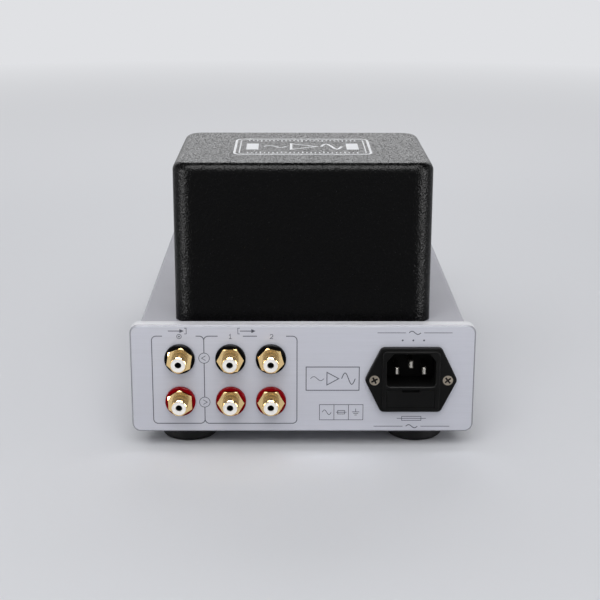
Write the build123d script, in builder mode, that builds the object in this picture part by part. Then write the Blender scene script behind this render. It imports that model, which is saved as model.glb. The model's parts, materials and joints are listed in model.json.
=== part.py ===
from build123d import *
from math import atan2, cos, degrees, radians, sin, tan
import os

# Valve line preamplifier: folded steel chassis between two thick aluminium
# panels, transformer under a steel cover at the rear, two octal valves on the
# deck in front of it. Millimetres. +Z is up, the front panel faces -Y, the
# panel with the sockets faces +Y, and the origin is on the table, at the
# centre of the box that holds the whole unit.

# ---------------------------------------------------------------- Panels
unit_depth = 280.0  # outer face of one panel to outer face of the other
panel_width = 175.0
panel_height = 57.2
panel_floor_gap = 10.0  # table to the panels' lower edge
rear_panel_thickness = 6.8
front_panel_thickness = 8.0
panel_corner_radius = 4.5
panel_bevel = 0.8

# ---------------------------------------------------------------- Chassis
sheet = 1.5
base_sheet = 1.2
chassis_side_inset = 3.75  # panel's side edge to the chassis side
chassis_edge_inset = 2.4  # panel's top edge to the roof, lower edge to the base plate
bend_radius = 2.0
lip_width = 10.0
tab_width = 10.0
tab_height = 12.0
tab_lower_inset = 13.0  # panels' lower edge to the lower tabs' centres
tab_upper_inset = 12.2  # panels' upper edge to the upper tabs' centres
base_screw_side_inset = 5.5
base_screw_end_inset = 10.0
base_screw_rows = 3
vent_slot_length = 34.0
vent_slot_width = 3.0
vent_pitch = 9.0
vent_rows = 9
vent_column_spacing = 62.0

# ---------------------------------------------------------------- Fasteners
screw_hole_clearance = 0.2  # on the radius
thread_gap = 0.05  # on the radius, between a screw and its thread
small_screw_diameter = 3.0
small_head_diameter = 5.5
small_head_height = 1.7
panel_screw_grip = 5.0  # length of thread in the panel
panel_screw_hole_spare = 1.0
through_length_spare = 2.0
small_nut_flats = 5.5
small_nut_height = 2.4
nut_thread_spare = 1.0

# ---------------------------------------------------------------- Feet
foot_side_inset = 27.85  # panel's side edge to the foot's axis
foot_end_inset = 25.75  # panel's outer face to the foot's axis
foot_top_diameter = 31.0
foot_bottom_diameter = 29.0
foot_edge_radius = 2.5
foot_recess_diameter = 11.0
foot_recess_depth = 5.0
foot_screw_diameter = 4.0
foot_head_diameter = 8.0
foot_head_height = 2.6
foot_screw_reach = 4.0  # tip above the base plate

# ---------------------------------------------------------------- Transformer cover
cover_width = 131.4
cover_depth = 103.5
cover_height = 82.2
cover_rear_gap = 12.4  # rear panel's outer face to the cover
cover_corner_radius = 10.0
cover_top_radius = 4.5
cover_wall = 1.2
cover_tab_width = 11.0
cover_tab_length = 12.0
cover_tab_spacing = 68.0

# ---------------------------------------------------------------- Transformer
core_width = 76.2
core_height = 63.5
core_stack = 38.0
core_leg = 12.7  # side legs and yokes, half of the centre leg
bobbin_wall = 1.2
bobbin_overhang = 12.0  # past the stack, front and rear
bobbin_play = 0.3
winding_inset = 0.8  # winding inside the bobbin's cheeks
winding_corner_radius = 6.0
bracket_sheet = 1.5
bracket_width = 30.0
bracket_foot = 15.0
bracket_play = 0.2
bolt_diameter = 4.0
bolt_spacing = 20.0  # along the bracket's foot
bolt_head_flats = 7.0
bolt_head_height = 2.8
grommet_hole_diameter = 12.0
grommet_bore_diameter = 7.0
grommet_rim = 1.6
grommet_side_gap = 16.9  # cover's side wall to the rim
grommet_rear_gap = 4.95  # cover's rear wall to the rim

# ---------------------------------------------------------------- Phono sockets
input_column = 25.1  # panel's left edge to each pair's axes, for someone facing it
output_1_column = 50.85
output_2_column = 71.35
left_row_level = 39.5  # each row's axes above the panel's lower edge
right_row_level = 16.8
jack_hex_turn = {
    "input_left": 20.5,
    "input_right": 32.0,
    "output_1_left": 2.0,
    "output_1_right": 0.0,
    "output_2_left": -14.0,
    "output_2_right": -1.0,
}
jack_barrel_diameter = 8.3
jack_barrel_length = 7.5
jack_rim_chamfer = 0.3
jack_thread_diameter = 8.0
jack_hex_flats = 12.0
jack_hex_thickness = 2.0
jack_hex_chamfer = 0.7  # on the radius at the corners
jack_hex_chamfer_angle = 30.0
jack_front_bore = 7.2
jack_rear_bore = 5.6
jack_front_bore_depth = 9.0
collar_diameter = 15.4
collar_thickness = 2.0
collar_shoulder = 2.4  # length that enters the panel's hole
collar_edge_radius = 0.4
panel_hole_diameter = 10.0
collar_play = 0.1  # on the radius, in the hole and on the thread
dielectric_recess = 0.2
dielectric_lip = 1.0
contact_hole_diameter = 3.4
contact_diameter = 4.4
contact_hole_depth = 9.0
contact_tail_diameter = 2.4
contact_tail_length = 5.0
inner_washer_diameter = 14.0
inner_washer_thickness = 1.5
tag_diameter = 12.5
tag_thickness = 0.5
tag_tail_length = 5.0
tag_tail_width = 3.0
jack_nut_flats = 11.0
jack_nut_thickness = 2.3
jack_thread_spare = 1.2

# ---------------------------------------------------------------- Mains inlet
inlet_side_inset = 32.5  # panel's right edge to the centre, for someone facing it
inlet_level = 28.65  # centre above the panel's lower edge
flange_width = 47.0
flange_height = 34.2
flange_flat = 30.4
flange_thickness = 2.6
flange_corner_radius = 2.8
flange_edge_radius = 0.5
block_width = 29.3
block_height = 32.1
block_drop = 0.5  # block's centre below the flange's
block_rise = 0.8  # block's face in front of the flange's
block_corner_radius = 2.4
block_edge_radius = 0.6
body_width = 27.4
body_height = 31.4
body_depth = 24.0
cutout_play = 0.25
recess_width = 25.0
recess_height = 17.4
recess_rise = 5.45  # recess's centre above the flange's
recess_chamfer_width = 3.6
recess_chamfer_height = 4.2
recess_corner_radius = 2.0
recess_mouth_chamfer = 0.4
recess_depth = 17.5
pin_width = 2.0
pin_height = 4.0
pin_pitch = 14.0
pin_rise = 3.65  # line and neutral above the flange's centre
earth_offset = 4.0
pin_tip_recess = 4.6  # block's face to the line and neutral pins' tips
earth_lead = 1.6  # earth pin's tip in front of theirs
pin_tip_chamfer = 0.5
pin_tail_length = 8.0
pin_play = 0.05
inlet_screw_spacing = 37.3
inlet_head_diameter = 5.2

# ---------------------------------------------------------------- Fuse drawer
drawer_width = 24.2
drawer_height = 9.4
drawer_length = 22.0
drawer_play = 0.2
drawer_roof_gap = 1.5  # plastic between the recess and the drawer's bay
drawer_face = 4.5  # solid front of the drawer
drawer_wall = 1.4
drawer_floor = 1.6
grip_width = 9.0
grip_height = 1.2
grip_depth = 1.6
fuse_diameter = 5.2
fuse_length = 20.0
fuse_cap_length = 5.5
fuse_glass_diameter = 4.8
fuse_glass_wall = 0.8
fuse_cap_end = 1.0  # metal at the end of each cap
fuse_back_inset = 4.5  # drawer's back end to the fuse's axis
fuse_clearance = 0.15

# ---------------------------------------------------------------- Power button and pilot lamp
button_side_inset = 32.5  # panel's side edge to the button's axis
lamp_side_inset = 32.5
front_level = 28.6  # centres above the panel's lower edge
bezel_diameter = 22.0
bezel_thickness = 1.8
bezel_edge_radius = 0.7
bezel_barrel_diameter = 19.0
bezel_barrel_length = 16.0
bezel_bore_depth = 9.8
bezel_nut_diameter = 24.0
bezel_nut_thickness = 3.0
button_diameter = 14.0
button_play = 0.2
button_stand_out = 3.0  # face in front of the bezel
button_length = 8.0
button_dish_radius = 26.0
button_rim_chamfer = 0.5
stem_diameter = 6.0
stem_reach = 2.0  # stem's end inside the switch
switch_size = 20.0
switch_length = 18.0
switch_corner_radius = 2.0
switch_cavity_depth = 8.0
terminal_width = 2.8
terminal_thickness = 0.8
terminal_length = 6.0
terminal_pitch = 9.0
lamp_bezel_diameter = 9.0
lamp_bezel_thickness = 1.2
lamp_barrel_diameter = 7.0
lamp_barrel_length = 14.0
lamp_lens_diameter = 5.0
lamp_lens_rise = 2.6
lamp_lens_depth = 6.0
lamp_play = 0.1

# ---------------------------------------------------------------- Valves and their sockets
valve_spacing = 76.0
valve_setback = 82.0  # front panel's outer face to the valves' axes
socket_diameter = 27.0
socket_rise = 2.5  # socket's face above the deck
socket_height = 13.0
socket_hole_play = 0.5
socket_ear_length = 47.0
socket_ear_width = 17.0
socket_ear_thickness = 2.5
socket_screw_spacing = 40.0
socket_head_diameter = 4.8
ring_diameter = 48.0
ring_height = 2.0
ring_edge_radius = 0.9
octal_circle = 17.45
octal_pins = 8
octal_pin_diameter = 2.36
octal_pin_length = 11.0
octal_pin_tip_radius = 0.6
octal_hole_play = 0.25
key_diameter = 7.9
key_length = 13.5
key_rib_width = 1.6
key_rib_reach = 1.3
valve_base_diameter = 33.0
valve_base_height = 15.0
valve_base_floor = 2.0
valve_base_wall = 1.3
bulb_play = 0.2
bulb_height = 64.0  # above the base's floor
bulb_wall = 1.0
bulb_shoulder_radius = 8.0
bulb_crown_radius = 22.0
mica_gap = 0.4  # mica's edge to the glass
mica_thickness = 0.6
lower_mica_level = 17.0  # above the base's floor
upper_mica_level = 43.0
stem_glass_diameter = 17.0
stem_glass_height = 7.0
mica_notch_width = 3.0
mica_notch_depth = 2.0
mica_notches = 8
anode_length = 10.6
anode_width = 8.0
anode_corner_radius = 2.4
anode_wall = 0.5
anode_spacing = 12.6
anode_fin_reach = 3.2
anode_end_gap = 1.2  # micas to the anodes
cathode_diameter = 1.6
grid_rod_diameter = 0.8
grid_rod_spacing = 4.4
rod_reach = 1.6  # cathodes and rods beyond the micas
rod_diameter = 1.1
rod_spacing_x = 7.0
rod_spacing_y = 14.0
getter_diameter = 11.0
getter_wire = 1.0
getter_rise = 5.0

# ---------------------------------------------------------------- Circuit board
board_width = 116.0
board_depth = 80.0
board_thickness = 1.6
board_centre_setback = 150.0  # front panel's outer face to the board's centre
filter_cap_row = 20.0  # behind the board's centre
coupling_cap_row = 16.0  # in front of it
standoff_height = 8.0
standoff_flats = 6.0
standoff_inset = 5.0
filter_cap_diameter = 16.0
filter_cap_height = 24.0
filter_cap_pitch = 22.0
filter_cap_count = 4
filter_cap_groove = 0.5  # depth of the crimp
filter_cap_groove_width = 1.4
filter_cap_groove_level = 3.2
filter_cap_edge = 0.5
coupling_cap_length = 26.0
coupling_cap_width = 9.0
coupling_cap_height = 17.0
coupling_cap_radius = 1.5
coupling_cap_pitch = 18.0
coupling_cap_count = 4

# ---------------------------------------------------------------- Places worked out from the sizes
jack_reach = collar_thickness + jack_hex_thickness + jack_barrel_length
button_reach = bezel_thickness + button_stand_out
rear_face_y = (unit_depth + button_reach - jack_reach) / 2
front_face_y = rear_face_y - unit_depth
rear_inner_y = rear_face_y - rear_panel_thickness
front_inner_y = front_face_y + front_panel_thickness
deck_z = panel_floor_gap + panel_height - chassis_edge_inset
base_z = panel_floor_gap + chassis_edge_inset
chassis_bottom_z = base_z + base_sheet
chassis_width = panel_width - 2 * chassis_side_inset
chassis_length = rear_inner_y - front_inner_y
chassis_height = deck_z - chassis_bottom_z
chassis_centre_y = (rear_inner_y + front_inner_y) / 2
cover_centre_y = rear_face_y - cover_rear_gap - cover_depth / 2
valve_y = front_face_y + valve_setback
socket_top_z = deck_z + socket_rise
foot_height = base_z

# Planes: on the rear panel x runs to the right for someone facing the sockets,
# on the front panel for someone facing the button. Both have y up from the
# panel's lower edge and z pointing away from the unit.
rear_plane = Plane(origin=(0, rear_face_y, panel_floor_gap), x_dir=(-1, 0, 0), z_dir=(0, 1, 0))
front_plane = Plane(origin=(0, front_face_y, panel_floor_gap), x_dir=(1, 0, 0), z_dir=(0, -1, 0))
rear_inner_plane = rear_plane.offset(-rear_panel_thickness)
front_inner_plane = front_plane.offset(-front_panel_thickness)
deck_plane = Plane.XY.offset(deck_z)
under_deck_plane = Plane.XY.offset(deck_z - sheet)

# Lists of centres that several pieces share
half_width = panel_width / 2
inlet_x = half_width - inlet_side_inset
button_x = button_side_inset - half_width
lamp_x = half_width - lamp_side_inset
jack_columns = {
    "input": input_column - half_width,
    "output_1": output_1_column - half_width,
    "output_2": output_2_column - half_width,
}
jack_rows = {"left": left_row_level, "right": right_row_level}
jack_places = {
    f"{column}_{row}": (x, level)
    for column, x in jack_columns.items()
    for row, level in jack_rows.items()
}
jack_centres = list(jack_places.values())
tab_x = chassis_width / 2 - sheet - tab_width / 2
tab_levels = (tab_lower_inset, panel_height - tab_upper_inset)
tab_centres = [(side * tab_x, level) for side in (-1, 1) for level in tab_levels]
inlet_screw_centres = [
    (inlet_x + side * inlet_screw_spacing / 2, inlet_level) for side in (-1, 1)
]
base_screw_x = chassis_width / 2 - base_screw_side_inset
base_screw_span = chassis_length - 2 * base_screw_end_inset
base_screw_centres = [
    (side * base_screw_x, chassis_centre_y + base_screw_span * (row / (base_screw_rows - 1) - 0.5))
    for side in (-1, 1)
    for row in range(base_screw_rows)
]
foot_x = half_width - foot_side_inset
foot_places = {
    "front_left": (-foot_x, front_face_y + foot_end_inset),
    "front_right": (foot_x, front_face_y + foot_end_inset),
    "rear_left": (-foot_x, rear_face_y - foot_end_inset),
    "rear_right": (foot_x, rear_face_y - foot_end_inset),
}
cover_screw_x = cover_width / 2 - cover_wall - cover_tab_width / 2
cover_screw_centres = [
    (side * cover_screw_x, cover_centre_y + end * cover_tab_spacing / 2)
    for side in (-1, 1)
    for end in (-1, 1)
]
bracket_inner_width = core_width + 2 * bracket_play
bolt_x = bracket_inner_width / 2 + bracket_sheet + bracket_foot / 2
bolt_centres = [
    (side * bolt_x, cover_centre_y + end * bolt_spacing / 2) for side in (-1, 1) for end in (-1, 1)
]
grommet_radius = grommet_hole_diameter / 2 + grommet_rim
grommet_centre = (
    cover_width / 2 - cover_wall - grommet_side_gap - grommet_radius,
    cover_centre_y + cover_depth / 2 - cover_wall - grommet_rear_gap - grommet_radius,
)
valve_places = {
    "left": (-valve_spacing / 2, valve_y),
    "right": (valve_spacing / 2, valve_y),
}
socket_screw_centres = [
    (x + side * socket_screw_spacing / 2, y)
    for x, y in valve_places.values()
    for side in (-1, 1)
]
board_y = front_face_y + board_centre_setback
board_z = chassis_bottom_z + standoff_height
standoff_centres = [
    (side * (board_width / 2 - standoff_inset), board_y + end * (board_depth / 2 - standoff_inset))
    for side in (-1, 1)
    for end in (-1, 1)
]


def save(piece, name):
    piece.part.label = name
    export_step(piece.part, f"parts/{name}.step")


def panel_frame(plane, x, level):
    """Plane whose x runs out of the panel and y up, through a centre on it, and that axis."""
    centre = plane.from_local_coords((x, level, 0))
    return Plane(origin=centre, x_dir=plane.z_dir, z_dir=plane.y_dir.cross(plane.z_dir) * -1), Axis(
        centre, plane.z_dir
    )


def turn(frame, outline, mode=Mode.ADD):
    """Revolve a closed outline of (along the axis, radius) points about the frame's axis."""
    plane, axis = frame
    with BuildSketch(plane) as section:
        with BuildLine():
            Polyline(*outline, close=True)
        make_face()
    revolve(section.sketch, axis=axis, mode=mode)


def upright(x, y, z):
    """Plane whose x is the radius and y the height, through a vertical axis, and that axis."""
    return Plane(origin=(x, y, z), x_dir=(1, 0, 0), z_dir=(0, -1, 0)), Axis((x, y, z), (0, 0, 1))


def ring_of(centres, outer, inner, thickness, plane):
    """Flat rings of given diameters on a plane."""
    with BuildSketch(plane) as rings:
        with Locations(*centres):
            Circle(outer / 2)
            Circle(inner / 2, mode=Mode.SUBTRACT)
    extrude(rings.sketch, amount=thickness)


def discs(centres, diameter, thickness, plane, mode=Mode.ADD):
    """Round bosses, or round holes with Mode.SUBTRACT."""
    with BuildSketch(plane) as circles:
        with Locations(*centres):
            Circle(diameter / 2)
    extrude(circles.sketch, amount=thickness, mode=mode)


def screws(centres, plane, shank, length, head, head_height):
    """Cheese-head screws: heads on the plane's near side, shanks behind it."""
    discs(centres, head, head_height, plane)
    discs(centres, shank, -length, plane)


def nuts(centres, plane, flats, bore, thickness):
    with BuildSketch(plane) as hexagons:
        with Locations(*centres):
            RegularPolygon(flats / 2, 6, major_radius=False)
            Circle(bore / 2, mode=Mode.SUBTRACT)
    extrude(hexagons.sketch, amount=thickness)


def panel_blank(plane, thickness):
    """Panel with rounded corners, a bevelled outer edge and the tapped holes behind it."""
    with BuildSketch(plane) as outline:
        with Locations((0, panel_height / 2)):
            RectangleRounded(panel_width, panel_height, panel_corner_radius)
    extrude(outline.sketch, amount=-thickness)
    outer_face = faces().sort_by(Axis(plane.origin, plane.z_dir))[-1]
    chamfer(outer_face.outer_wire().edges(), panel_bevel)
    discs(
        tab_centres,
        small_screw_diameter + 2 * thread_gap,
        panel_screw_grip + panel_screw_hole_spare,
        plane.offset(-thickness),
        Mode.SUBTRACT,
    )


os.makedirs("parts", exist_ok=True)

# ================================================================ Casing
with BuildPart() as rear_panel:
    panel_blank(rear_plane, rear_panel_thickness)
    discs(jack_centres, panel_hole_diameter, -rear_panel_thickness, rear_plane, Mode.SUBTRACT)
    discs(
        inlet_screw_centres,
        small_screw_diameter + 2 * screw_hole_clearance,
        -rear_panel_thickness,
        rear_plane,
        Mode.SUBTRACT,
    )
    with BuildSketch(rear_plane):
        with Locations((inlet_x, inlet_level - block_drop)):
            RectangleRounded(
                body_width + 2 * cutout_play, body_height + 2 * cutout_play, block_corner_radius
            )
    extrude(amount=-rear_panel_thickness, mode=Mode.SUBTRACT)
save(rear_panel, "rear_panel")

with BuildPart() as front_panel:
    panel_blank(front_plane, front_panel_thickness)
    discs(
        [(button_x, front_level)],
        bezel_barrel_diameter + 2 * screw_hole_clearance,
        -front_panel_thickness,
        front_plane,
        Mode.SUBTRACT,
    )
    discs(
        [(lamp_x, front_level)],
        lamp_barrel_diameter + 2 * lamp_play,
        -front_panel_thickness,
        front_plane,
        Mode.SUBTRACT,
    )
save(front_panel, "front_panel")

with BuildPart() as chassis_shell:
    # Roof, sides and the two lips that the base plate is screwed to, folded in one sheet
    with BuildSketch(rear_inner_plane):
        with Locations((0, chassis_bottom_z - panel_floor_gap + chassis_height / 2)):
            RectangleRounded(chassis_width, chassis_height, bend_radius)
            RectangleRounded(
                chassis_width - 2 * sheet,
                chassis_height - 2 * sheet,
                bend_radius - sheet,
                mode=Mode.SUBTRACT,
            )
        with Locations((0, chassis_bottom_z - panel_floor_gap + sheet / 2)):
            Rectangle(chassis_width - 2 * lip_width, 2 * sheet, mode=Mode.SUBTRACT)
    extrude(amount=-chassis_length)
    # Tabs bent inwards at both ends of the sides, for the panel screws
    for inner_plane in (rear_inner_plane, front_inner_plane):
        with BuildSketch(inner_plane):
            with Locations(*tab_centres):
                Rectangle(tab_width, tab_height)
        extrude(amount=-sheet)
        discs(
            tab_centres,
            small_screw_diameter + 2 * screw_hole_clearance,
            -sheet,
            inner_plane,
            Mode.SUBTRACT,
        )
    # Holes in the roof for the sockets, the transformer, its cover and its leads
    discs(
        valve_places.values(),
        socket_diameter + 2 * socket_hole_play,
        -sheet,
        deck_plane,
        Mode.SUBTRACT,
    )
    discs(
        socket_screw_centres + cover_screw_centres,
        small_screw_diameter + 2 * screw_hole_clearance,
        -sheet,
        deck_plane,
        Mode.SUBTRACT,
    )
    discs(bolt_centres, bolt_diameter + 2 * screw_hole_clearance, -sheet, deck_plane, Mode.SUBTRACT)
    discs([grommet_centre], grommet_hole_diameter, -sheet, deck_plane, Mode.SUBTRACT)
    discs(
        base_screw_centres,
        small_screw_diameter + 2 * thread_gap,
        sheet,
        Plane.XY.offset(chassis_bottom_z),
        Mode.SUBTRACT,
    )
save(chassis_shell, "chassis_shell")

with BuildPart() as bottom_plate:
    with BuildSketch(Plane.XY.offset(base_z)):
        with Locations((0, chassis_centre_y)):
            Rectangle(chassis_width, chassis_length)
            with GridLocations(vent_column_spacing, vent_pitch, 2, vent_rows):
                SlotOverall(vent_slot_length, vent_slot_width, mode=Mode.SUBTRACT)
    extrude(amount=base_sheet)
    discs(
        base_screw_centres,
        small_screw_diameter + 2 * screw_hole_clearance,
        base_sheet,
        Plane.XY.offset(base_z),
        Mode.SUBTRACT,
    )
    discs(
        foot_places.values(),
        foot_screw_diameter + 2 * thread_gap,
        base_sheet,
        Plane.XY.offset(base_z),
        Mode.SUBTRACT,
    )
save(bottom_plate, "bottom_plate")

with BuildPart() as base_screws:
    screws(
        base_screw_centres,
        Plane(origin=(0, 0, base_z), x_dir=(1, 0, 0), z_dir=(0, 0, 1)),
        small_screw_diameter,
        -(base_sheet + sheet + through_length_spare),
        small_head_diameter,
        -small_head_height,
    )
save(base_screws, "base_screws")

with BuildPart() as panel_screws:
    for inner_plane in (rear_inner_plane, front_inner_plane):
        screws(
            tab_centres,
            inner_plane.offset(-sheet),
            small_screw_diameter,
            -(sheet + panel_screw_grip),
            small_head_diameter,
            -small_head_height,
        )
save(panel_screws, "panel_screws")

# ================================================================ Feet
for place, (x, y) in foot_places.items():
    plane, axis = upright(x, y, 0)
    with BuildPart() as foot:
        with BuildSketch(plane):
            with BuildLine():
                Polyline(
                    (foot_screw_diameter / 2 + screw_hole_clearance, foot_recess_depth),
                    (foot_screw_diameter / 2 + screw_hole_clearance, foot_height),
                    (foot_top_diameter / 2, foot_height),
                    (foot_bottom_diameter / 2, 0),
                    (foot_recess_diameter / 2, 0),
                    (foot_recess_diameter / 2, foot_recess_depth),
                    close=True,
                )
            make_face()
            lower_edge = vertices().sort_by_distance((foot_bottom_diameter / 2, 0))[0]
            fillet(lower_edge, foot_edge_radius)
        revolve(axis=axis)
    save(foot, f"foot_{place}")

with BuildPart() as foot_screws:
    screws(
        foot_places.values(),
        Plane.XY.offset(foot_recess_depth),
        foot_screw_diameter,
        -(foot_height - foot_recess_depth + base_sheet + foot_screw_reach),
        foot_head_diameter,
        -foot_head_height,
    )
save(foot_screws, "foot_screws")

# ================================================================ Transformer and its cover
with BuildPart() as transformer_cover:
    with BuildSketch(deck_plane):
        with Locations((0, cover_centre_y)):
            RectangleRounded(cover_width, cover_depth, cover_corner_radius)
    extrude(amount=cover_height)
    fillet(faces().sort_by(Axis.Z)[-1].edges(), cover_top_radius)
    offset(amount=-cover_wall, openings=faces().sort_by(Axis.Z)[0])
    with BuildSketch(deck_plane):
        with Locations(*cover_screw_centres):
            Rectangle(cover_tab_width, cover_tab_length)
        with Locations(*cover_screw_centres):
            Circle(small_screw_diameter / 2 + thread_gap, mode=Mode.SUBTRACT)
    extrude(amount=cover_wall)
save(transformer_cover, "transformer_cover")

with BuildPart() as cover_screws:
    screws(
        cover_screw_centres,
        under_deck_plane,
        small_screw_diameter,
        -(sheet + cover_wall + through_length_spare),
        small_head_diameter,
        -small_head_height,
    )
save(cover_screws, "cover_screws")

core_plane = Plane(
    origin=(0, cover_centre_y + core_stack / 2, deck_z), x_dir=(1, 0, 0), z_dir=(0, -1, 0)
)
window_height = core_height - 2 * core_leg
window_x = core_leg + core_leg / 2
with BuildPart() as transformer_core:
    with BuildSketch(core_plane):
        with Locations((0, core_height / 2)):
            Rectangle(core_width, core_height)
        with Locations((-window_x, core_height / 2), (window_x, core_height / 2)):
            Rectangle(core_leg, window_height, mode=Mode.SUBTRACT)
    extrude(amount=core_stack)
save(transformer_core, "transformer_core")

bobbin_bottom_plane = Plane.XY.offset(deck_z + core_leg + bobbin_play)
bobbin_height = window_height - 2 * bobbin_play
bobbin_hole_x = 2 * core_leg + 2 * bobbin_play
bobbin_hole_y = core_stack + 2 * bobbin_play
cheek_x = 4 * core_leg - 2 * bobbin_play
cheek_y = core_stack + 2 * bobbin_overhang
with BuildPart() as transformer_bobbin:
    with BuildSketch(bobbin_bottom_plane):
        with Locations((0, cover_centre_y)):
            Rectangle(cheek_x, cheek_y)
    extrude(amount=bobbin_wall)
    with BuildSketch(bobbin_bottom_plane.offset(bobbin_height - bobbin_wall)):
        with Locations((0, cover_centre_y)):
            Rectangle(cheek_x, cheek_y)
    extrude(amount=bobbin_wall)
    with BuildSketch(bobbin_bottom_plane):
        with Locations((0, cover_centre_y)):
            Rectangle(bobbin_hole_x + 2 * bobbin_wall, bobbin_hole_y + 2 * bobbin_wall)
    extrude(amount=bobbin_height)
    with BuildSketch(bobbin_bottom_plane):
        with Locations((0, cover_centre_y)):
            Rectangle(bobbin_hole_x, bobbin_hole_y)
    extrude(amount=bobbin_height, mode=Mode.SUBTRACT)
save(transformer_bobbin, "transformer_bobbin")

with BuildPart() as transformer_windings:
    with BuildSketch(bobbin_bottom_plane.offset(bobbin_wall)):
        with Locations((0, cover_centre_y)):
            RectangleRounded(
                cheek_x - 2 * winding_inset, cheek_y - 2 * winding_inset, winding_corner_radius
            )
            Rectangle(
                bobbin_hole_x + 2 * bobbin_wall, bobbin_hole_y + 2 * bobbin_wall, mode=Mode.SUBTRACT
            )
    extrude(amount=bobbin_height - 2 * bobbin_wall)
save(transformer_windings, "transformer_windings")

bracket_outer_width = bracket_inner_width + 2 * bracket_sheet
bracket_inner_height = core_height + bracket_play
with BuildPart() as transformer_bracket:
    with BuildSketch(core_plane.offset((core_stack - bracket_width) / 2)):
        with Locations((0, (bracket_inner_height + bracket_sheet) / 2)):
            Rectangle(bracket_outer_width, bracket_inner_height + bracket_sheet)
        with Locations((0, bracket_inner_height / 2)):
            Rectangle(bracket_inner_width, bracket_inner_height, mode=Mode.SUBTRACT)
        with Locations((-bolt_x, bracket_sheet / 2), (bolt_x, bracket_sheet / 2)):
            Rectangle(bracket_foot, bracket_sheet)
    extrude(amount=bracket_width)
    fillet(edges().filter_by(Axis.Y).group_by(Axis.Z)[-1], bracket_sheet)
    discs(
        bolt_centres,
        bolt_diameter + 2 * screw_hole_clearance,
        bracket_sheet,
        deck_plane,
        Mode.SUBTRACT,
    )
save(transformer_bracket, "transformer_bracket")

bolt_nut_height = bolt_head_height
with BuildPart() as transformer_bolts:
    with BuildSketch(deck_plane.offset(bracket_sheet)):
        with Locations(*bolt_centres):
            RegularPolygon(bolt_head_flats / 2, 6, major_radius=False)
    extrude(amount=bolt_head_height)
    discs(
        bolt_centres,
        bolt_diameter,
        -(bracket_sheet + sheet + bolt_nut_height + through_length_spare),
        deck_plane.offset(bracket_sheet),
    )
    nuts(
        bolt_centres,
        under_deck_plane,
        bolt_head_flats,
        bolt_diameter + 2 * thread_gap,
        -bolt_nut_height,
    )
save(transformer_bolts, "transformer_bolts")

with BuildPart() as wire_grommet:
    # Rubber ring whose groove holds the edge of the roof's hole
    grommet_frame = upright(*grommet_centre, deck_z)
    turn(
        grommet_frame,
        [
            (grommet_bore_diameter / 2, -sheet - grommet_rim),
            (grommet_radius, -sheet - grommet_rim),
            (grommet_radius, -sheet),
            (grommet_hole_diameter / 2, -sheet),
            (grommet_hole_diameter / 2, 0),
            (grommet_radius, 0),
            (grommet_radius, grommet_rim),
            (grommet_bore_diameter / 2, grommet_rim),
        ],
    )
save(wire_grommet, "wire_grommet")

# ================================================================ Phono sockets
front_bore_end = jack_reach - jack_front_bore_depth
tag_plane_depth = rear_panel_thickness + inner_washer_thickness
nut_plane_depth = tag_plane_depth + tag_thickness
thread_end = -(nut_plane_depth + jack_nut_thickness + jack_thread_spare)
thread_radius = jack_thread_diameter / 2
barrel_radius = jack_barrel_diameter / 2
washer_bore = jack_thread_diameter + 2 * collar_play
shoulder_diameter = panel_hole_diameter - 2 * collar_play

hex_front = collar_thickness + jack_hex_thickness
hex_corner = jack_hex_flats / 2 / cos(radians(30))
chamfer_start = hex_corner - jack_hex_chamfer
chamfer_end = hex_corner + jack_hex_chamfer
chamfer_drop = (chamfer_end - chamfer_start) * tan(radians(jack_hex_chamfer_angle))

for name, centre in jack_places.items():
    jack_frame = panel_frame(rear_plane, *centre)
    with BuildPart() as jack:
        turn(
            jack_frame,
            [
                (thread_end, jack_rear_bore / 2),
                (thread_end, thread_radius),
                (collar_thickness, thread_radius),
                (collar_thickness, barrel_radius),
                (jack_reach - jack_rim_chamfer, barrel_radius),
                (jack_reach, barrel_radius - jack_rim_chamfer),
                (jack_reach, jack_front_bore / 2),
                (front_bore_end, jack_front_bore / 2),
                (front_bore_end, jack_rear_bore / 2),
            ],
        )
        with BuildSketch(rear_plane.offset(collar_thickness)):
            with Locations(centre):
                RegularPolygon(
                    jack_hex_flats / 2, 6, major_radius=False, rotation=jack_hex_turn[name]
                )
                Circle((jack_front_bore + jack_barrel_diameter) / 4, mode=Mode.SUBTRACT)
        extrude(amount=jack_hex_thickness)
        # The hexagon's corners are turned off on its front face
        turn(
            jack_frame,
            [
                (hex_front, chamfer_start),
                (hex_front, chamfer_end),
                (hex_front - chamfer_drop, chamfer_end),
            ],
            Mode.SUBTRACT,
        )
    save(jack, f"{name}_jack")

for row, level in jack_rows.items():
    with BuildPart() as collars:
        for x in jack_columns.values():
            turn(
                panel_frame(rear_plane, x, level),
                [
                    (-collar_shoulder, washer_bore / 2),
                    (-collar_shoulder, shoulder_diameter / 2),
                    (0, shoulder_diameter / 2),
                    (0, collar_diameter / 2),
                    (collar_thickness - collar_edge_radius, collar_diameter / 2),
                    (collar_thickness, collar_diameter / 2 - collar_edge_radius),
                    (collar_thickness, washer_bore / 2),
                ],
            )
    save(collars, f"{row}_collars")

with BuildPart() as jack_inner_washers:
    for centre in jack_centres:
        turn(
            panel_frame(rear_inner_plane, *centre),
            [
                (-inner_washer_thickness, washer_bore / 2),
                (-inner_washer_thickness, inner_washer_diameter / 2),
                (0, inner_washer_diameter / 2),
                (0, shoulder_diameter / 2),
                (collar_shoulder, shoulder_diameter / 2),
                (collar_shoulder, washer_bore / 2),
            ],
        )
save(jack_inner_washers, "jack_inner_washers")

with BuildPart() as jack_tags:
    with BuildSketch(rear_plane.offset(-tag_plane_depth)):
        with Locations(*jack_centres):
            Circle(tag_diameter / 2)
        with Locations(*[(x, z + (tag_diameter / 2 + tag_tail_length) / 2) for x, z in jack_centres]):
            Rectangle(tag_tail_width, tag_diameter / 2 + tag_tail_length)
        with Locations(*jack_centres):
            Circle(washer_bore / 2, mode=Mode.SUBTRACT)
    extrude(amount=-tag_thickness)
save(jack_tags, "jack_tags")

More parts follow.
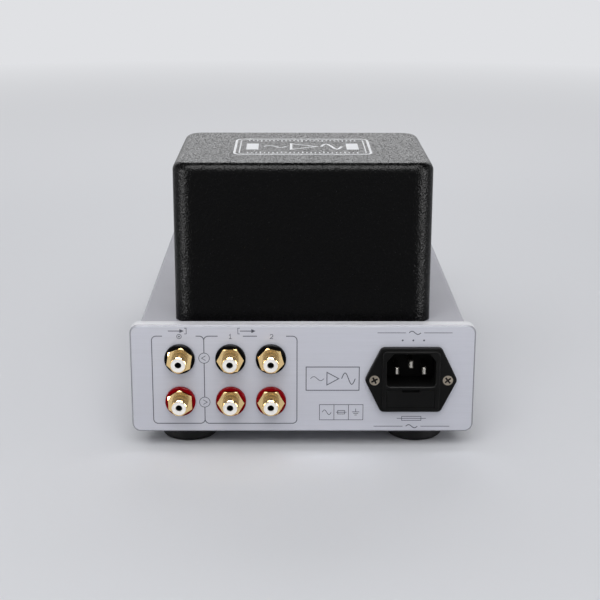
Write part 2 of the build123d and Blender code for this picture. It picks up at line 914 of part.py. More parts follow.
with BuildPart() as jack_nuts:
    nuts(
        jack_centres,
        rear_plane.offset(-nut_plane_depth),
        jack_nut_flats,
        jack_thread_diameter + 2 * thread_gap,
        -jack_nut_thickness,
    )
save(jack_nuts, "jack_nuts")

dielectric_front = jack_reach - dielectric_recess
contact_front = dielectric_front - dielectric_lip
with BuildPart() as jack_dielectrics:
    for centre in jack_centres:
        turn(
            panel_frame(rear_plane, *centre),
            [
                (thread_end, contact_diameter / 2),
                (thread_end, jack_rear_bore / 2),
                (front_bore_end, jack_rear_bore / 2),
                (front_bore_end, jack_front_bore / 2),
                (dielectric_front, jack_front_bore / 2),
                (dielectric_front, contact_hole_diameter / 2),
                (contact_front, contact_hole_diameter / 2),
                (contact_front, contact_diameter / 2),
            ],
        )
save(jack_dielectrics, "jack_dielectrics")

contact_floor = contact_front - contact_hole_depth
with BuildPart() as jack_contacts:
    for centre in jack_centres:
        turn(
            panel_frame(rear_plane, *centre),
            [
                (contact_front, contact_hole_diameter / 2),
                (contact_front, contact_diameter / 2),
                (thread_end, contact_diameter / 2),
                (thread_end, contact_tail_diameter / 2),
                (thread_end - contact_tail_length, contact_tail_diameter / 2),
                (thread_end - contact_tail_length, 0),
                (contact_floor, 0),
                (contact_floor, contact_hole_diameter / 2),
            ],
        )
save(jack_contacts, "jack_contacts")

# ================================================================ Mains inlet
block_level = inlet_level - block_drop
block_face = flange_thickness + block_rise
recess_level = inlet_level + recess_rise
recess_top = recess_level + recess_height / 2
recess_bottom = recess_level - recess_height / 2
recess_floor = block_face - recess_depth
pin_places = [
    (inlet_x - pin_pitch / 2, inlet_level + pin_rise),
    (inlet_x + pin_pitch / 2, inlet_level + pin_rise),
    (inlet_x, inlet_level + pin_rise + earth_offset),
]
bay_level = recess_bottom - drawer_roof_gap - drawer_play - drawer_height / 2
inlet_plane = rear_plane.offset(block_face)

with BuildPart() as inlet_housing:
    with BuildSketch(rear_plane):
        with BuildLine():
            Polyline(
                (inlet_x - flange_width / 2, inlet_level),
                (inlet_x - flange_flat / 2, inlet_level + flange_height / 2),
                (inlet_x + flange_flat / 2, inlet_level + flange_height / 2),
                (inlet_x + flange_width / 2, inlet_level),
                (inlet_x + flange_flat / 2, inlet_level - flange_height / 2),
                (inlet_x - flange_flat / 2, inlet_level - flange_height / 2),
                close=True,
            )
        make_face()
        fillet(vertices(), flange_corner_radius)
    extrude(amount=flange_thickness)
    fillet(faces().sort_by(Axis.Y)[-1].edges(), flange_edge_radius)
    with BuildSketch(rear_plane):
        with Locations((inlet_x, block_level)):
            RectangleRounded(block_width, block_height, block_corner_radius)
    extrude(amount=block_face)
    fillet(faces().sort_by(Axis.Y)[-1].edges(), block_edge_radius)
    with BuildSketch(rear_plane):
        with Locations((inlet_x, block_level)):
            RectangleRounded(body_width, body_height, block_corner_radius)
    extrude(amount=-body_depth)
    # Recess for the plug, with the two cut corners that stop it going in upside down
    with BuildSketch(inlet_plane):
        with BuildLine():
            Polyline(
                (inlet_x - recess_width / 2, recess_bottom),
                (inlet_x - recess_width / 2, recess_top - recess_chamfer_height),
                (inlet_x - recess_width / 2 + recess_chamfer_width, recess_top),
                (inlet_x + recess_width / 2 - recess_chamfer_width, recess_top),
                (inlet_x + recess_width / 2, recess_top - recess_chamfer_height),
                (inlet_x + recess_width / 2, recess_bottom),
                close=True,
            )
        make_face()
        fillet(vertices().group_by(Axis.Y)[0], recess_corner_radius)
    extrude(amount=-recess_depth, mode=Mode.SUBTRACT)
    recess_mouth = faces().sort_by(Axis.Y)[-1].inner_wires()[0]
    chamfer(recess_mouth.edges(), recess_mouth_chamfer)
    with BuildSketch(inlet_plane):
        with Locations((inlet_x, bay_level)):
            Rectangle(drawer_width + 2 * drawer_play, drawer_height + 2 * drawer_play)
    extrude(amount=-(drawer_length + drawer_play), mode=Mode.SUBTRACT)
    with BuildSketch(rear_plane.offset(recess_floor)):
        with Locations(*pin_places):
            Rectangle(pin_width + 2 * pin_play, pin_height + 2 * pin_play)
    extrude(amount=-(body_depth + recess_floor), mode=Mode.SUBTRACT)
    with Locations(rear_plane.offset(flange_thickness)):
        with Locations(*inlet_screw_centres):
            CounterSinkHole(
                small_screw_diameter / 2 + screw_hole_clearance,
                inlet_head_diameter / 2 + thread_gap,
                counter_sink_angle=90,
            )
save(inlet_housing, "inlet_housing")

pin_tip = block_face - pin_tip_recess
pin_tips = (pin_tip, pin_tip, pin_tip + earth_lead)
with BuildPart() as inlet_pins:
    for centre, tip in zip(pin_places, pin_tips):
        with BuildSketch(rear_plane.offset(tip)):
            with Locations(centre):
                Rectangle(pin_width, pin_height)
        extrude(amount=-(tip + body_depth + pin_tail_length))
    tip_faces = faces().filter_by(lambda face: face.normal_at().Y > 0.9)
    chamfer(tip_faces.edges(), pin_tip_chamfer)
save(inlet_pins, "inlet_pins")

with BuildPart() as inlet_screws:
    for centre in inlet_screw_centres:
        head_radius = inlet_head_diameter / 2
        shank_radius = small_screw_diameter / 2
        head_bottom = flange_thickness - (head_radius - shank_radius)
        turn(
            panel_frame(rear_plane, *centre),
            [
                (flange_thickness, 0),
                (flange_thickness, head_radius),
                (head_bottom, shank_radius),
                (-(rear_panel_thickness + small_nut_height + through_length_spare), shank_radius),
                (-(rear_panel_thickness + small_nut_height + through_length_spare), 0),
            ],
        )
    nuts(
        inlet_screw_centres,
        rear_inner_plane,
        small_nut_flats,
        small_screw_diameter + 2 * thread_gap,
        -small_nut_height,
    )
save(inlet_screws, "inlet_screws")

# ================================================================ Fuse drawer
drawer_top = bay_level + drawer_height / 2
fuse_depth = drawer_length - fuse_back_inset  # drawer's face to the fuse's axis
trough_length = drawer_length - drawer_face - drawer_wall
trough_width = drawer_width - 2 * drawer_wall
fuse_level = bay_level - drawer_height / 2 + drawer_floor + fuse_diameter / 2 + fuse_clearance

with BuildPart() as fuse_drawer:
    with BuildSketch(inlet_plane):
        with Locations((inlet_x, bay_level)):
            Rectangle(drawer_width, drawer_height)
    extrude(amount=-drawer_length)
    # Trough, open at the top, with the fuse across its back end
    with BuildSketch(inlet_plane.offset(-drawer_face)):
        with Locations((inlet_x, bay_level + drawer_floor / 2)):
            Rectangle(trough_width, drawer_height - drawer_floor)
    extrude(amount=-trough_length, mode=Mode.SUBTRACT)
    # Notch for a fingernail or a screwdriver in the face's top edge
    with BuildSketch(inlet_plane):
        with Locations((inlet_x, drawer_top - grip_height / 2)):
            Rectangle(grip_width, grip_height)
    extrude(amount=-grip_depth, mode=Mode.SUBTRACT)
save(fuse_drawer, "fuse_drawer")

fuse_centre = rear_plane.from_local_coords((inlet_x, fuse_level, block_face - fuse_depth))
fuse_plane = Plane(origin=fuse_centre, x_dir=(0, 1, 0), z_dir=(1, 0, 0))
with BuildPart() as fuse_caps:
    for end in (-1, 1):
        with BuildSketch(fuse_plane.offset(end * fuse_length / 2)):
            Circle(fuse_diameter / 2)
        extrude(amount=-end * fuse_cap_length)
        with BuildSketch(fuse_plane.offset(end * (fuse_length / 2 - fuse_cap_length))):
            Circle(fuse_glass_diameter / 2)
        extrude(amount=end * (fuse_cap_length - fuse_cap_end), mode=Mode.SUBTRACT)
save(fuse_caps, "fuse_caps")

with BuildPart() as fuse_glass:
    with BuildSketch(fuse_plane.offset(fuse_cap_end - fuse_length / 2)):
        Circle(fuse_glass_diameter / 2)
        Circle(fuse_glass_diameter / 2 - fuse_glass_wall, mode=Mode.SUBTRACT)
    extrude(amount=fuse_length - 2 * fuse_cap_end)
save(fuse_glass, "fuse_glass")

# ================================================================ Power button and pilot lamp
bore_floor = bezel_thickness - bezel_bore_depth
stem_radius = stem_diameter / 2
with BuildPart() as button_bezel:
    turn(
        panel_frame(front_plane, button_x, front_level),
        [
            (-bezel_barrel_length, stem_radius + button_play),
            (-bezel_barrel_length, bezel_barrel_diameter / 2),
            (0, bezel_barrel_diameter / 2),
            (0, bezel_diameter / 2),
            (bezel_thickness, bezel_diameter / 2),
            (bezel_thickness, button_diameter / 2 + button_play),
            (bore_floor, button_diameter / 2 + button_play),
            (bore_floor, stem_radius + button_play),
        ],
    )
    face_edges = faces().sort_by(Axis.Y)[0].edges()
    fillet(face_edges.sort_by(SortBy.RADIUS)[-1], bezel_edge_radius)
save(button_bezel, "button_bezel")

with BuildPart() as bezel_nut:
    ring_of(
        [(button_x, front_level)],
        bezel_nut_diameter,
        bezel_barrel_diameter + 2 * thread_gap,
        -bezel_nut_thickness,
        front_inner_plane,
    )
save(bezel_nut, "bezel_nut")

with BuildPart() as power_button:
    button_plane, button_axis = panel_frame(front_plane, button_x, front_level)
    rim = (button_reach, button_diameter / 2 - button_rim_chamfer)
    dish = button_dish_radius - (button_dish_radius**2 - rim[1] ** 2) ** 0.5
    with BuildSketch(button_plane):
        with BuildLine():
            Polyline(
                rim,
                (button_reach - button_rim_chamfer, button_diameter / 2),
                (button_reach - button_length, button_diameter / 2),
                (button_reach - button_length, stem_radius),
                (-bezel_barrel_length - stem_reach, stem_radius),
                (-bezel_barrel_length - stem_reach, 0),
                (button_reach - dish, 0),
            )
            RadiusArc((button_reach - dish, 0), rim, button_dish_radius)
        make_face()
    revolve(axis=button_axis)
save(power_button, "power_button")

with BuildPart() as power_switch:
    with BuildSketch(front_plane.offset(-bezel_barrel_length)):
        with Locations((button_x, front_level)):
            RectangleRounded(switch_size, switch_size, switch_corner_radius)
    extrude(amount=-switch_length)
    discs(
        [(button_x, front_level)],
        stem_diameter + 2 * button_play,
        -switch_cavity_depth,
        front_plane.offset(-bezel_barrel_length),
        Mode.SUBTRACT,
    )
    with BuildSketch(front_plane.offset(-bezel_barrel_length - switch_length)):
        with Locations((button_x, front_level)):
            with GridLocations(terminal_pitch, terminal_pitch, 2, 2):
                Rectangle(terminal_thickness, terminal_width)
    extrude(amount=-terminal_length)
save(power_switch, "power_switch")

with BuildPart() as pilot_bezel:
    turn(
        panel_frame(front_plane, lamp_x, front_level),
        [
            (-lamp_barrel_length, lamp_lens_diameter / 2 + lamp_play),
            (-lamp_barrel_length, lamp_barrel_diameter / 2),
            (0, lamp_barrel_diameter / 2),
            (0, lamp_bezel_diameter / 2),
            (lamp_bezel_thickness / 2, lamp_bezel_diameter / 2),
            (lamp_bezel_thickness, lamp_bezel_diameter / 2 - lamp_bezel_thickness / 2),
            (lamp_bezel_thickness, lamp_lens_diameter / 2 + lamp_play),
        ],
    )
save(pilot_bezel, "pilot_bezel")

with BuildPart() as pilot_lens:
    lens_plane, lens_axis = panel_frame(front_plane, lamp_x, front_level)
    lens_radius = lamp_lens_diameter / 2
    dome_start = lamp_lens_rise - lens_radius
    with BuildSketch(lens_plane):
        with BuildLine():
            Polyline(
                (lamp_lens_rise, 0),
                (-lamp_lens_depth, 0),
                (-lamp_lens_depth, lens_radius),
                (dome_start, lens_radius),
            )
            CenterArc((dome_start, 0), lens_radius, 0, 90)
        make_face()
    revolve(axis=lens_axis)
save(pilot_lens, "pilot_lens")

# ================================================================ Valves and their sockets
octal_angles = [360 / octal_pins * (step + 0.5) for step in range(octal_pins)]
octal_offsets = [
    (octal_circle / 2 * sin(radians(angle)), octal_circle / 2 * cos(radians(angle)))
    for angle in octal_angles
]
rib_centre = (key_diameter / 2 + key_rib_reach) / 2
bulb_radius = valve_base_diameter / 2 - valve_base_wall - bulb_play
floor_top = valve_base_floor
shoulder_x = bulb_radius - bulb_shoulder_radius
crown_drop = ((bulb_crown_radius - bulb_shoulder_radius) ** 2 - shoulder_x**2) ** 0.5
bulb_top = floor_top + bulb_height
crown_z = bulb_top - bulb_crown_radius
shoulder_z = crown_z + crown_drop
shoulder_angle = degrees(atan2(crown_drop, shoulder_x))
key_play = 2 * octal_hole_play
mica_radius = bulb_radius - bulb_wall - mica_gap
anode_height = upper_mica_level - lower_mica_level - mica_thickness - 2 * anode_end_gap


def on_valve(x, y, offsets):
    return [(x + dx, y + dy) for dx, dy in offsets]


for place, (x, y) in valve_places.items():
    socket_plane = Plane.XY.offset(socket_top_z)

    with BuildPart() as valve_socket:
        discs([(x, y)], socket_diameter, -socket_height, socket_plane)
        with BuildSketch(under_deck_plane):
            with Locations((x, y)):
                SlotOverall(socket_ear_length, socket_ear_width)
        extrude(amount=-socket_ear_thickness)
        discs(
            on_valve(x, y, octal_offsets),
            octal_pin_diameter + 2 * octal_hole_play,
            -socket_height,
            socket_plane,
            Mode.SUBTRACT,
        )
        with BuildSketch(socket_plane):
            with Locations((x, y)):
                Circle(key_diameter / 2 + key_play)
            with Locations((x, y - rib_centre)):
                Rectangle(key_rib_width + 2 * key_play, 2 * rib_centre + 2 * key_play)
        extrude(amount=-socket_height, mode=Mode.SUBTRACT)
        discs(
            [(x - socket_screw_spacing / 2, y), (x + socket_screw_spacing / 2, y)],
            small_screw_diameter + 2 * screw_hole_clearance,
            -socket_ear_thickness,
            under_deck_plane,
            Mode.SUBTRACT,
        )
    save(valve_socket, f"valve_socket_{place}")

    with BuildPart() as valve_base:
        turn(
            upright(x, y, socket_top_z),
            [
                (0, -key_length),
                (key_diameter / 2, -key_length),
                (key_diameter / 2, 0),
                (valve_base_diameter / 2, 0),
                (valve_base_diameter / 2, valve_base_height),
                (valve_base_diameter / 2 - valve_base_wall, valve_base_height),
                (valve_base_diameter / 2 - valve_base_wall, valve_base_floor),
                (0, valve_base_floor),
            ],
        )
        with BuildSketch(socket_plane):
            with Locations((x, y - rib_centre)):
                Rectangle(key_rib_width, 2 * rib_centre)
        extrude(amount=-key_length)
    save(valve_base, f"valve_{place}_base")

    with BuildPart() as valve_pins:
        discs(on_valve(x, y, octal_offsets), octal_pin_diameter, -octal_pin_length, socket_plane)
        fillet(edges().group_by(Axis.Z)[0], octal_pin_tip_radius)
    save(valve_pins, f"valve_{place}_pins")

    with BuildPart() as valve_bulb:
        bulb_plane, bulb_axis = upright(x, y, socket_top_z)
        with BuildSketch(bulb_plane):
            with BuildLine():
                Polyline(
                    (bulb_radius - bulb_wall, shoulder_z),
                    (bulb_radius - bulb_wall, floor_top),
                    (bulb_radius, floor_top),
                    (bulb_radius, shoulder_z),
                )
                Line((0, bulb_top), (0, bulb_top - bulb_wall))
                for wall in (0, bulb_wall):
                    CenterArc(
                        (shoulder_x, shoulder_z), bulb_shoulder_radius - wall, 0, shoulder_angle
                    )
                    CenterArc(
                        (0, crown_z), bulb_crown_radius - wall, shoulder_angle, 90 - shoulder_angle
                    )
            make_face()
        revolve(axis=bulb_axis)
    save(valve_bulb, f"valve_{place}_bulb")

    with BuildPart() as valve_electrodes:
        # Glass stem and the four rods that stand on it
        stem_plane = socket_plane.offset(floor_top)
        discs([(x, y)], stem_glass_diameter, stem_glass_height, stem_plane)
        with BuildSketch(stem_plane):
            with Locations((x, y)):
                with GridLocations(rod_spacing_x, rod_spacing_y, 2, 2):
                    Circle(rod_diameter / 2)
        extrude(amount=upper_mica_level + mica_thickness + rod_reach)
        # Two micas with notched rims
        for level in (lower_mica_level, upper_mica_level):
            with BuildSketch(stem_plane.offset(level)):
                with Locations((x, y)):
                    Circle(mica_radius)
                    with PolarLocations(mica_radius, mica_notches):
                        Rectangle(2 * mica_notch_depth, mica_notch_width, mode=Mode.SUBTRACT)
            extrude(amount=mica_thickness)
        # Two anodes, open tubes with a fin on each long side
        with BuildSketch(stem_plane.offset(lower_mica_level + mica_thickness + anode_end_gap)):
            with Locations((x, y)):
                with GridLocations(anode_spacing, 1, 2, 1):
                    RectangleRounded(anode_length, anode_width, anode_corner_radius)
                    Rectangle(anode_wall, anode_width + 2 * anode_fin_reach)
                    RectangleRounded(
                        anode_length - 2 * anode_wall,
                        anode_width - 2 * anode_wall,
                        anode_corner_radius - anode_wall,
                        mode=Mode.SUBTRACT,
                    )
        extrude(amount=anode_height)
        # Anode tabs through both micas, cathodes and grid rods inside the anodes
        with BuildSketch(stem_plane.offset(lower_mica_level - rod_reach)):
            with Locations((x, y)):
                with GridLocations(anode_spacing, anode_width + anode_fin_reach, 2, 2):
                    Rectangle(anode_wall, anode_fin_reach / 2)
                with GridLocations(anode_spacing, 1, 2, 1):
                    Circle(cathode_diameter / 2)
                with GridLocations(anode_spacing, grid_rod_spacing, 2, 2):
                    Circle(grid_rod_diameter / 2)
        extrude(amount=upper_mica_level - lower_mica_level + mica_thickness + 2 * rod_reach)
        getter_z = upper_mica_level + getter_rise
        with BuildSketch(stem_plane.offset(getter_z)):
            with Locations((x, y)):
                Circle(getter_diameter / 2)
                Circle(getter_diameter / 2 - getter_wire, mode=Mode.SUBTRACT)
        extrude(amount=getter_wire)
        with BuildSketch(stem_plane.offset(upper_mica_level)):
            with Locations((x, y + (getter_diameter - getter_wire) / 2)):
                Circle(getter_wire / 2)
        extrude(amount=getter_rise + getter_wire / 2)
    save(valve_electrodes, f"valve_{place}_electrodes")

with BuildPart() as socket_rings:
    ring_of(
        valve_places.values(),
        ring_diameter,
        socket_diameter + 2 * socket_hole_play,
        ring_height,
        deck_plane,
    )
    top_edges = faces().group_by(Axis.Z)[-1].edges()
    fillet(top_edges.group_by(SortBy.RADIUS)[-1], ring_edge_radius)
    discs(
        socket_screw_centres,
        small_screw_diameter + 2 * screw_hole_clearance,
        ring_height,
        deck_plane,
        Mode.SUBTRACT,
    )
save(socket_rings, "socket_rings")

with BuildPart() as socket_screws:
    screws(
        socket_screw_centres,
        deck_plane.offset(ring_height),
        small_screw_diameter,
        ring_height + sheet + socket_ear_thickness + small_nut_height + nut_thread_spare,
        socket_head_diameter,
        small_head_height,
    )
    nuts(
        socket_screw_centres,
        under_deck_plane.offset(-socket_ear_thickness),
        small_nut_flats,
        small_screw_diameter + 2 * thread_gap,
        -small_nut_height,
    )
save(socket_screws, "socket_screws")

# ================================================================ Circuit board
board_plane = Plane.XY.offset(board_z)
board_top_plane = board_plane.offset(board_thickness)
cap_row_y = board_y + filter_cap_row
coupling_row_y = board_y - coupling_cap_row

with BuildPart() as circuit_board:
    with BuildSketch(board_plane):
        with Locations((0, board_y)):
            Rectangle(board_width, board_depth)
        with Locations(*standoff_centres):
            Circle(small_screw_diameter / 2, mode=Mode.SUBTRACT)
    extrude(amount=board_thickness)
save(circuit_board, "circuit_board")

with BuildPart() as board_standoffs:
    with BuildSketch(Plane.XY.offset(chassis_bottom_z)):
        with Locations(*standoff_centres):
            RegularPolygon(standoff_flats / 2, 6, major_radius=False)
    extrude(amount=standoff_height)
save(board_standoffs, "board_standoffs")

with BuildPart() as filter_capacitors:
    for step in range(filter_cap_count):
        x = filter_cap_pitch * (step - (filter_cap_count - 1) / 2)
        radius = filter_cap_diameter / 2
        turn(
            upright(x, cap_row_y, board_z + board_thickness),
            [
                (0, 0),
                (radius, 0),
                (radius, filter_cap_groove_level - filter_cap_groove_width / 2),
                (radius - filter_cap_groove, filter_cap_groove_level),
                (radius, filter_cap_groove_level + filter_cap_groove_width / 2),
                (radius, filter_cap_height - filter_cap_edge),
                (radius - filter_cap_edge, filter_cap_height),
                (0, filter_cap_height),
            ],
        )
save(filter_capacitors, "filter_capacitors")

with BuildPart() as coupling_capacitors:
    with BuildSketch(board_top_plane):
        with Locations((0, coupling_row_y)):
            with GridLocations(coupling_cap_pitch, 1, coupling_cap_count, 1):
                RectangleRounded(coupling_cap_width, coupling_cap_length, coupling_cap_radius)
    extrude(amount=coupling_cap_height)
    fillet(edges().group_by(Axis.Z)[-1], coupling_cap_radius / 2)
save(coupling_capacitors, "coupling_capacitors")
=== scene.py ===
import json
import math

import bmesh
import bpy
from mathutils import Matrix, Vector
from mathutils.geometry import delaunay_2d_cdt


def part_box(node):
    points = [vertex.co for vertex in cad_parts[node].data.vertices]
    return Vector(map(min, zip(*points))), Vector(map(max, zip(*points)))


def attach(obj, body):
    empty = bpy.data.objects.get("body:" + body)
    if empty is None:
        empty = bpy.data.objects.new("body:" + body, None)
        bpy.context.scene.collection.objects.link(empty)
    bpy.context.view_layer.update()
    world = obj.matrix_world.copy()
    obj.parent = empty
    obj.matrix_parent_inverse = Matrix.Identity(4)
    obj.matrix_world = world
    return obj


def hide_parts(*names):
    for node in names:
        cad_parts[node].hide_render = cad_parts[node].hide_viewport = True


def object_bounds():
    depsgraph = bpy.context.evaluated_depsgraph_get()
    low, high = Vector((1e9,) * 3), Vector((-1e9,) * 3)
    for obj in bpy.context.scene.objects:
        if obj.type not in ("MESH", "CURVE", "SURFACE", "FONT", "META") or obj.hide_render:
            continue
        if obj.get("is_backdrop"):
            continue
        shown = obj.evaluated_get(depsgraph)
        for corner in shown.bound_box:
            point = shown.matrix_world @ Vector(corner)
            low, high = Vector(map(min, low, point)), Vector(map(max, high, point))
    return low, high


# Valve line preamplifier, seen from the side with the sockets. Places come from
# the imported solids, in metres. Sizes of what is added here are in millimetres
# and go through MM. The floor and the lamps are in metres.

MM = 0.001
SIDES = (-1, 1)

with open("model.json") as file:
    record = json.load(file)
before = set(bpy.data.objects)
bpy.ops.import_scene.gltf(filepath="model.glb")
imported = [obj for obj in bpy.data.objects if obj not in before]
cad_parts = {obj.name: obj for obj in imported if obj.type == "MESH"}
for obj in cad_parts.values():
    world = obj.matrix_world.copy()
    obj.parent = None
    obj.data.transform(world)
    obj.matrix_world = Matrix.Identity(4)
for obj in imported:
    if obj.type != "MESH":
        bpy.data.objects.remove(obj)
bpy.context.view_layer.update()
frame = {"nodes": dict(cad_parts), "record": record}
nodes = frame["nodes"]

# -------------------- Camera
CAMERA_PLACE = (6.17, 786.25, 266.28)
CAMERA_YAW, CAMERA_PITCH, CAMERA_ROLL = 0.00716, 0.2787, 0.00263  # radians
CAMERA_LENS, CAMERA_SENSOR = 81.0, 36.0
CAMERA_NEAREST = 0.01


def add_camera():
    data = bpy.data.cameras.new("camera")
    data.lens = CAMERA_LENS
    data.sensor_width = CAMERA_SENSOR
    data.clip_start = CAMERA_NEAREST
    camera = bpy.data.objects.new("camera", data)
    bpy.context.scene.collection.objects.link(camera)
    level = math.cos(CAMERA_PITCH)
    forward = Vector(
        (-level * math.sin(CAMERA_YAW), -level * math.cos(CAMERA_YAW), -math.sin(CAMERA_PITCH))
    )
    aim = forward.to_track_quat("-Z", "Y").to_matrix().to_4x4()
    place = Matrix.Translation(Vector(CAMERA_PLACE) * MM)
    camera.matrix_world = place @ aim @ Matrix.Rotation(CAMERA_ROLL, 4, "Z")
    bpy.context.scene.camera = camera


add_camera()


# -------------------- Node helpers
def srgb(red, green, blue):
    """Screen colour, 0 to 255, as the linear colour that a shader takes."""
    linear = []
    for level in (red, green, blue):
        part = level / 255
        linear.append(part / 12.92 if part <= 0.04045 else ((part + 0.055) / 1.055) ** 2.4)
    return (*linear, 1.0)


def darker(colour, share):
    return (*[part * share for part in colour[:3]], 1.0)


def add_node(tree, kind, inputs=None, **settings):
    """A shader node with its settings, whose inputs are values or other nodes' outputs."""
    made = tree.nodes.new(f"ShaderNode{kind}")
    for name, value in settings.items():
        setattr(made, name, value)
    for socket, value in (inputs or {}).items():
        if isinstance(value, bpy.types.NodeSocket):
            tree.links.new(value, made.inputs[socket])
        else:
            made.inputs[socket].default_value = value
    return made


def maths(tree, operation, first, second=0.0):
    return add_node(tree, "Math", {0: first, 1: second}, operation=operation).outputs[0]


def vector_maths(tree, operation, first, second):
    inputs = {0: first, 1: second}
    return add_node(tree, "VectorMath", inputs, operation=operation).outputs[0]


def vector_length(tree, vector):
    node = add_node(tree, "VectorMath", {0: vector}, operation="LENGTH")
    return node.outputs["Value"]


def own_place(tree):
    """Object coordinates, in metres."""
    return add_node(tree, "TexCoord").outputs["Object"]


def along(tree, vector, axis):
    return add_node(tree, "SeparateXYZ", {0: vector}).outputs[axis]


def ranged(tree, value, low, high, from_low=0.0, from_high=1.0):
    """A value from one range taken to another, and held inside it."""
    inputs = {"Value": value, "From Min": from_low, "From Max": from_high}
    inputs.update({"To Min": low, "To Max": high})
    return add_node(tree, "MapRange", inputs).outputs["Result"]


def blended(tree, factor, first, second):
    """A value between two others."""
    inputs = {"Factor": factor, "A": first, "B": second}
    return add_node(tree, "Mix", inputs).outputs["Result"]


MIX_COLOURS, MIX_COLOUR_RESULT = (6, 7), 2  # a mix node's sockets for colours


def mixed(tree, factor, first, second):
    """A colour between two others."""
    inputs = {"Factor": factor, **dict(zip(MIX_COLOURS, (first, second)))}
    return add_node(tree, "Mix", inputs, data_type="RGBA").outputs[MIX_COLOUR_RESULT]


def mixed_shaders(tree, factor, first, second):
    inputs = {0: factor, 1: first.outputs[0], 2: second.outputs[0]}
    return add_node(tree, "MixShader", inputs)


def show(tree, shader):
    """Makes a shader node the one that the material shows."""
    tree.links.new(shader.outputs[0], tree.nodes["Material Output"].inputs["Surface"])


def new_group(name, inputs, outputs):
    """An empty shader node group with float or vector inputs and float outputs."""
    tree = bpy.data.node_groups.new(name, "ShaderNodeTree")
    for label, value in inputs.items():
        kind = "NodeSocketVector" if isinstance(value, tuple) else "NodeSocketFloat"
        socket = tree.interface.new_socket(label, in_out="INPUT", socket_type=kind)
        socket.default_value = value
    for label in outputs:
        tree.interface.new_socket(label, in_out="OUTPUT", socket_type="NodeSocketFloat")
    given = tree.nodes.new("NodeGroupInput").outputs
    return tree, given, tree.nodes.new("NodeGroupOutput").inputs


def in_millimetres(tree, size):
    """Object coordinates divided by a size in millimetres."""
    scaled = vector_maths(tree, "MULTIPLY", own_place(tree), (1 / MM,) * 3)
    return vector_maths(tree, "DIVIDE", scaled, size)


def grain_group():
    """Noise with its own grain size along each axis: brushing, haze or a fine moulded grain."""
    tree, given, made = new_group("grain", {"Size": (1.0, 1.0, 1.0), "Detail": 2.0}, ["Value"])
    place = in_millimetres(tree, given["Size"])
    inputs = {"Vector": place, "Detail": given["Detail"], "Scale": 1.0}
    noise = add_node(tree, "TexNoise", inputs)
    tree.links.new(ranged(tree, noise.outputs[0], 0, 1, 0.25, 0.75), made["Value"])
    return tree


def wrinkle_group():
    """Rounded, winding ridges of wrinkle paint, and a mask of their tops."""
    tree, given, made = new_group("wrinkle", {"Size": 1.0, "Winding": 0.6}, ["Height", "Tops"])
    size = add_node(tree, "CombineXYZ", {axis: given["Size"] for axis in range(3)})
    place = in_millimetres(tree, size.outputs[0])
    drift = add_node(tree, "TexNoise", {"Vector": place, "Scale": 0.9, "Detail": 2.0})
    shift = vector_maths(tree, "SUBTRACT", drift.outputs["Color"], (0.5, 0.5, 0.5))
    wound = vector_maths(tree, "MULTIPLY", shift, given["Winding"])
    bent = vector_maths(tree, "ADD", place, wound)
    inputs = {"Vector": bent, "Scale": 1.0, "Smoothness": 0.6}
    cells = add_node(tree, "TexVoronoi", inputs, feature="SMOOTH_F1")
    fine = add_node(tree, "TexNoise", {"Vector": bent, "Scale": 2.6, "Detail": 3.0})
    ridges = ranged(tree, cells.outputs["Distance"], 1, 0, 0.05, 0.75)
    height = maths(tree, "ADD", ridges, maths(tree, "MULTIPLY", fine.outputs[0], 0.45))
    tree.links.new(height, made["Height"])
    tree.links.new(ranged(tree, height, 0, 1, 0.75, 1.1), made["Tops"])
    return tree


def turning_group():
    """Fine rings round an axis, as a lathe leaves them. Across is 0 along the axis, else 1."""
    inputs = {"Centre": (0.0, 0.0, 0.0), "Across": (1.0, 0.0, 1.0), "Pitch": 0.1}
    tree, given, made = new_group("turning", inputs, ["Height"])
    from_axis = vector_maths(tree, "SUBTRACT", own_place(tree), given["Centre"])
    radius = vector_length(tree, vector_maths(tree, "MULTIPLY", from_axis, given["Across"]))
    rings = maths(tree, "DIVIDE", maths(tree, "DIVIDE", radius, MM), given["Pitch"])
    inputs = {"W": rings, "Detail": 2.0, "Scale": 1.0}
    noise = add_node(tree, "TexNoise", inputs, noise_dimensions="1D")
    tree.links.new(noise.outputs[0], made["Height"])
    return tree


grain = grain_group()
wrinkle = wrinkle_group()
turning = turning_group()


def use(tree, group, **inputs):
    """The outputs of a node group placed with its own values."""
    return add_node(tree, "Group", inputs, node_tree=group).outputs


def grain_of(tree, size, detail):
    """Grain of one size, or of a size for each axis, in millimetres."""
    sizes = size if isinstance(size, tuple) else (size,) * 3
    return use(tree, grain, Size=sizes, Detail=detail)["Value"]


def finish_of(name, colour, roughness=0.5, metallic=0.0, specular=0.5, **others):
    """A material with plain values on its shader; returns it, its node tree and its shader."""
    material = bpy.data.materials.new(name)
    material.use_nodes = True
    tree = material.node_tree
    shader = tree.nodes["Principled BSDF"]
    values = {"Base Color": colour, "Roughness": roughness, "Metallic": metallic}
    values["Specular IOR Level"] = specular
    values.update({socket.replace("_", " "): value for socket, value in others.items()})
    for socket, value in values.items():
        shader.inputs[socket].default_value = value
    return material, tree, shader


def tint(tree, shader, mask, first, second):
    tree.links.new(mixed(tree, mask, first, second), shader.inputs["Base Color"])


def roughen(tree, shader, mask, low, high):
    tree.links.new(ranged(tree, mask, low, high), shader.inputs["Roughness"])


def emboss(tree, shader, height, depth):
    """Bump of a height from 0 to 1 that stands for a depth in millimetres."""
    bump = add_node(tree, "Bump", {"Height": height, "Distance": depth * MM, "Strength": 1.0})
    tree.links.new(bump.outputs[0], shader.inputs["Normal"])


def facing(tree, axis, low, high):
    """1 where the surface turns its back or front to an axis, 0 where it runs along it."""
    normal = add_node(tree, "NewGeometry").outputs["Normal"]
    return ranged(tree, maths(tree, "ABSOLUTE", along(tree, normal, axis)), 0, 1, low, high)


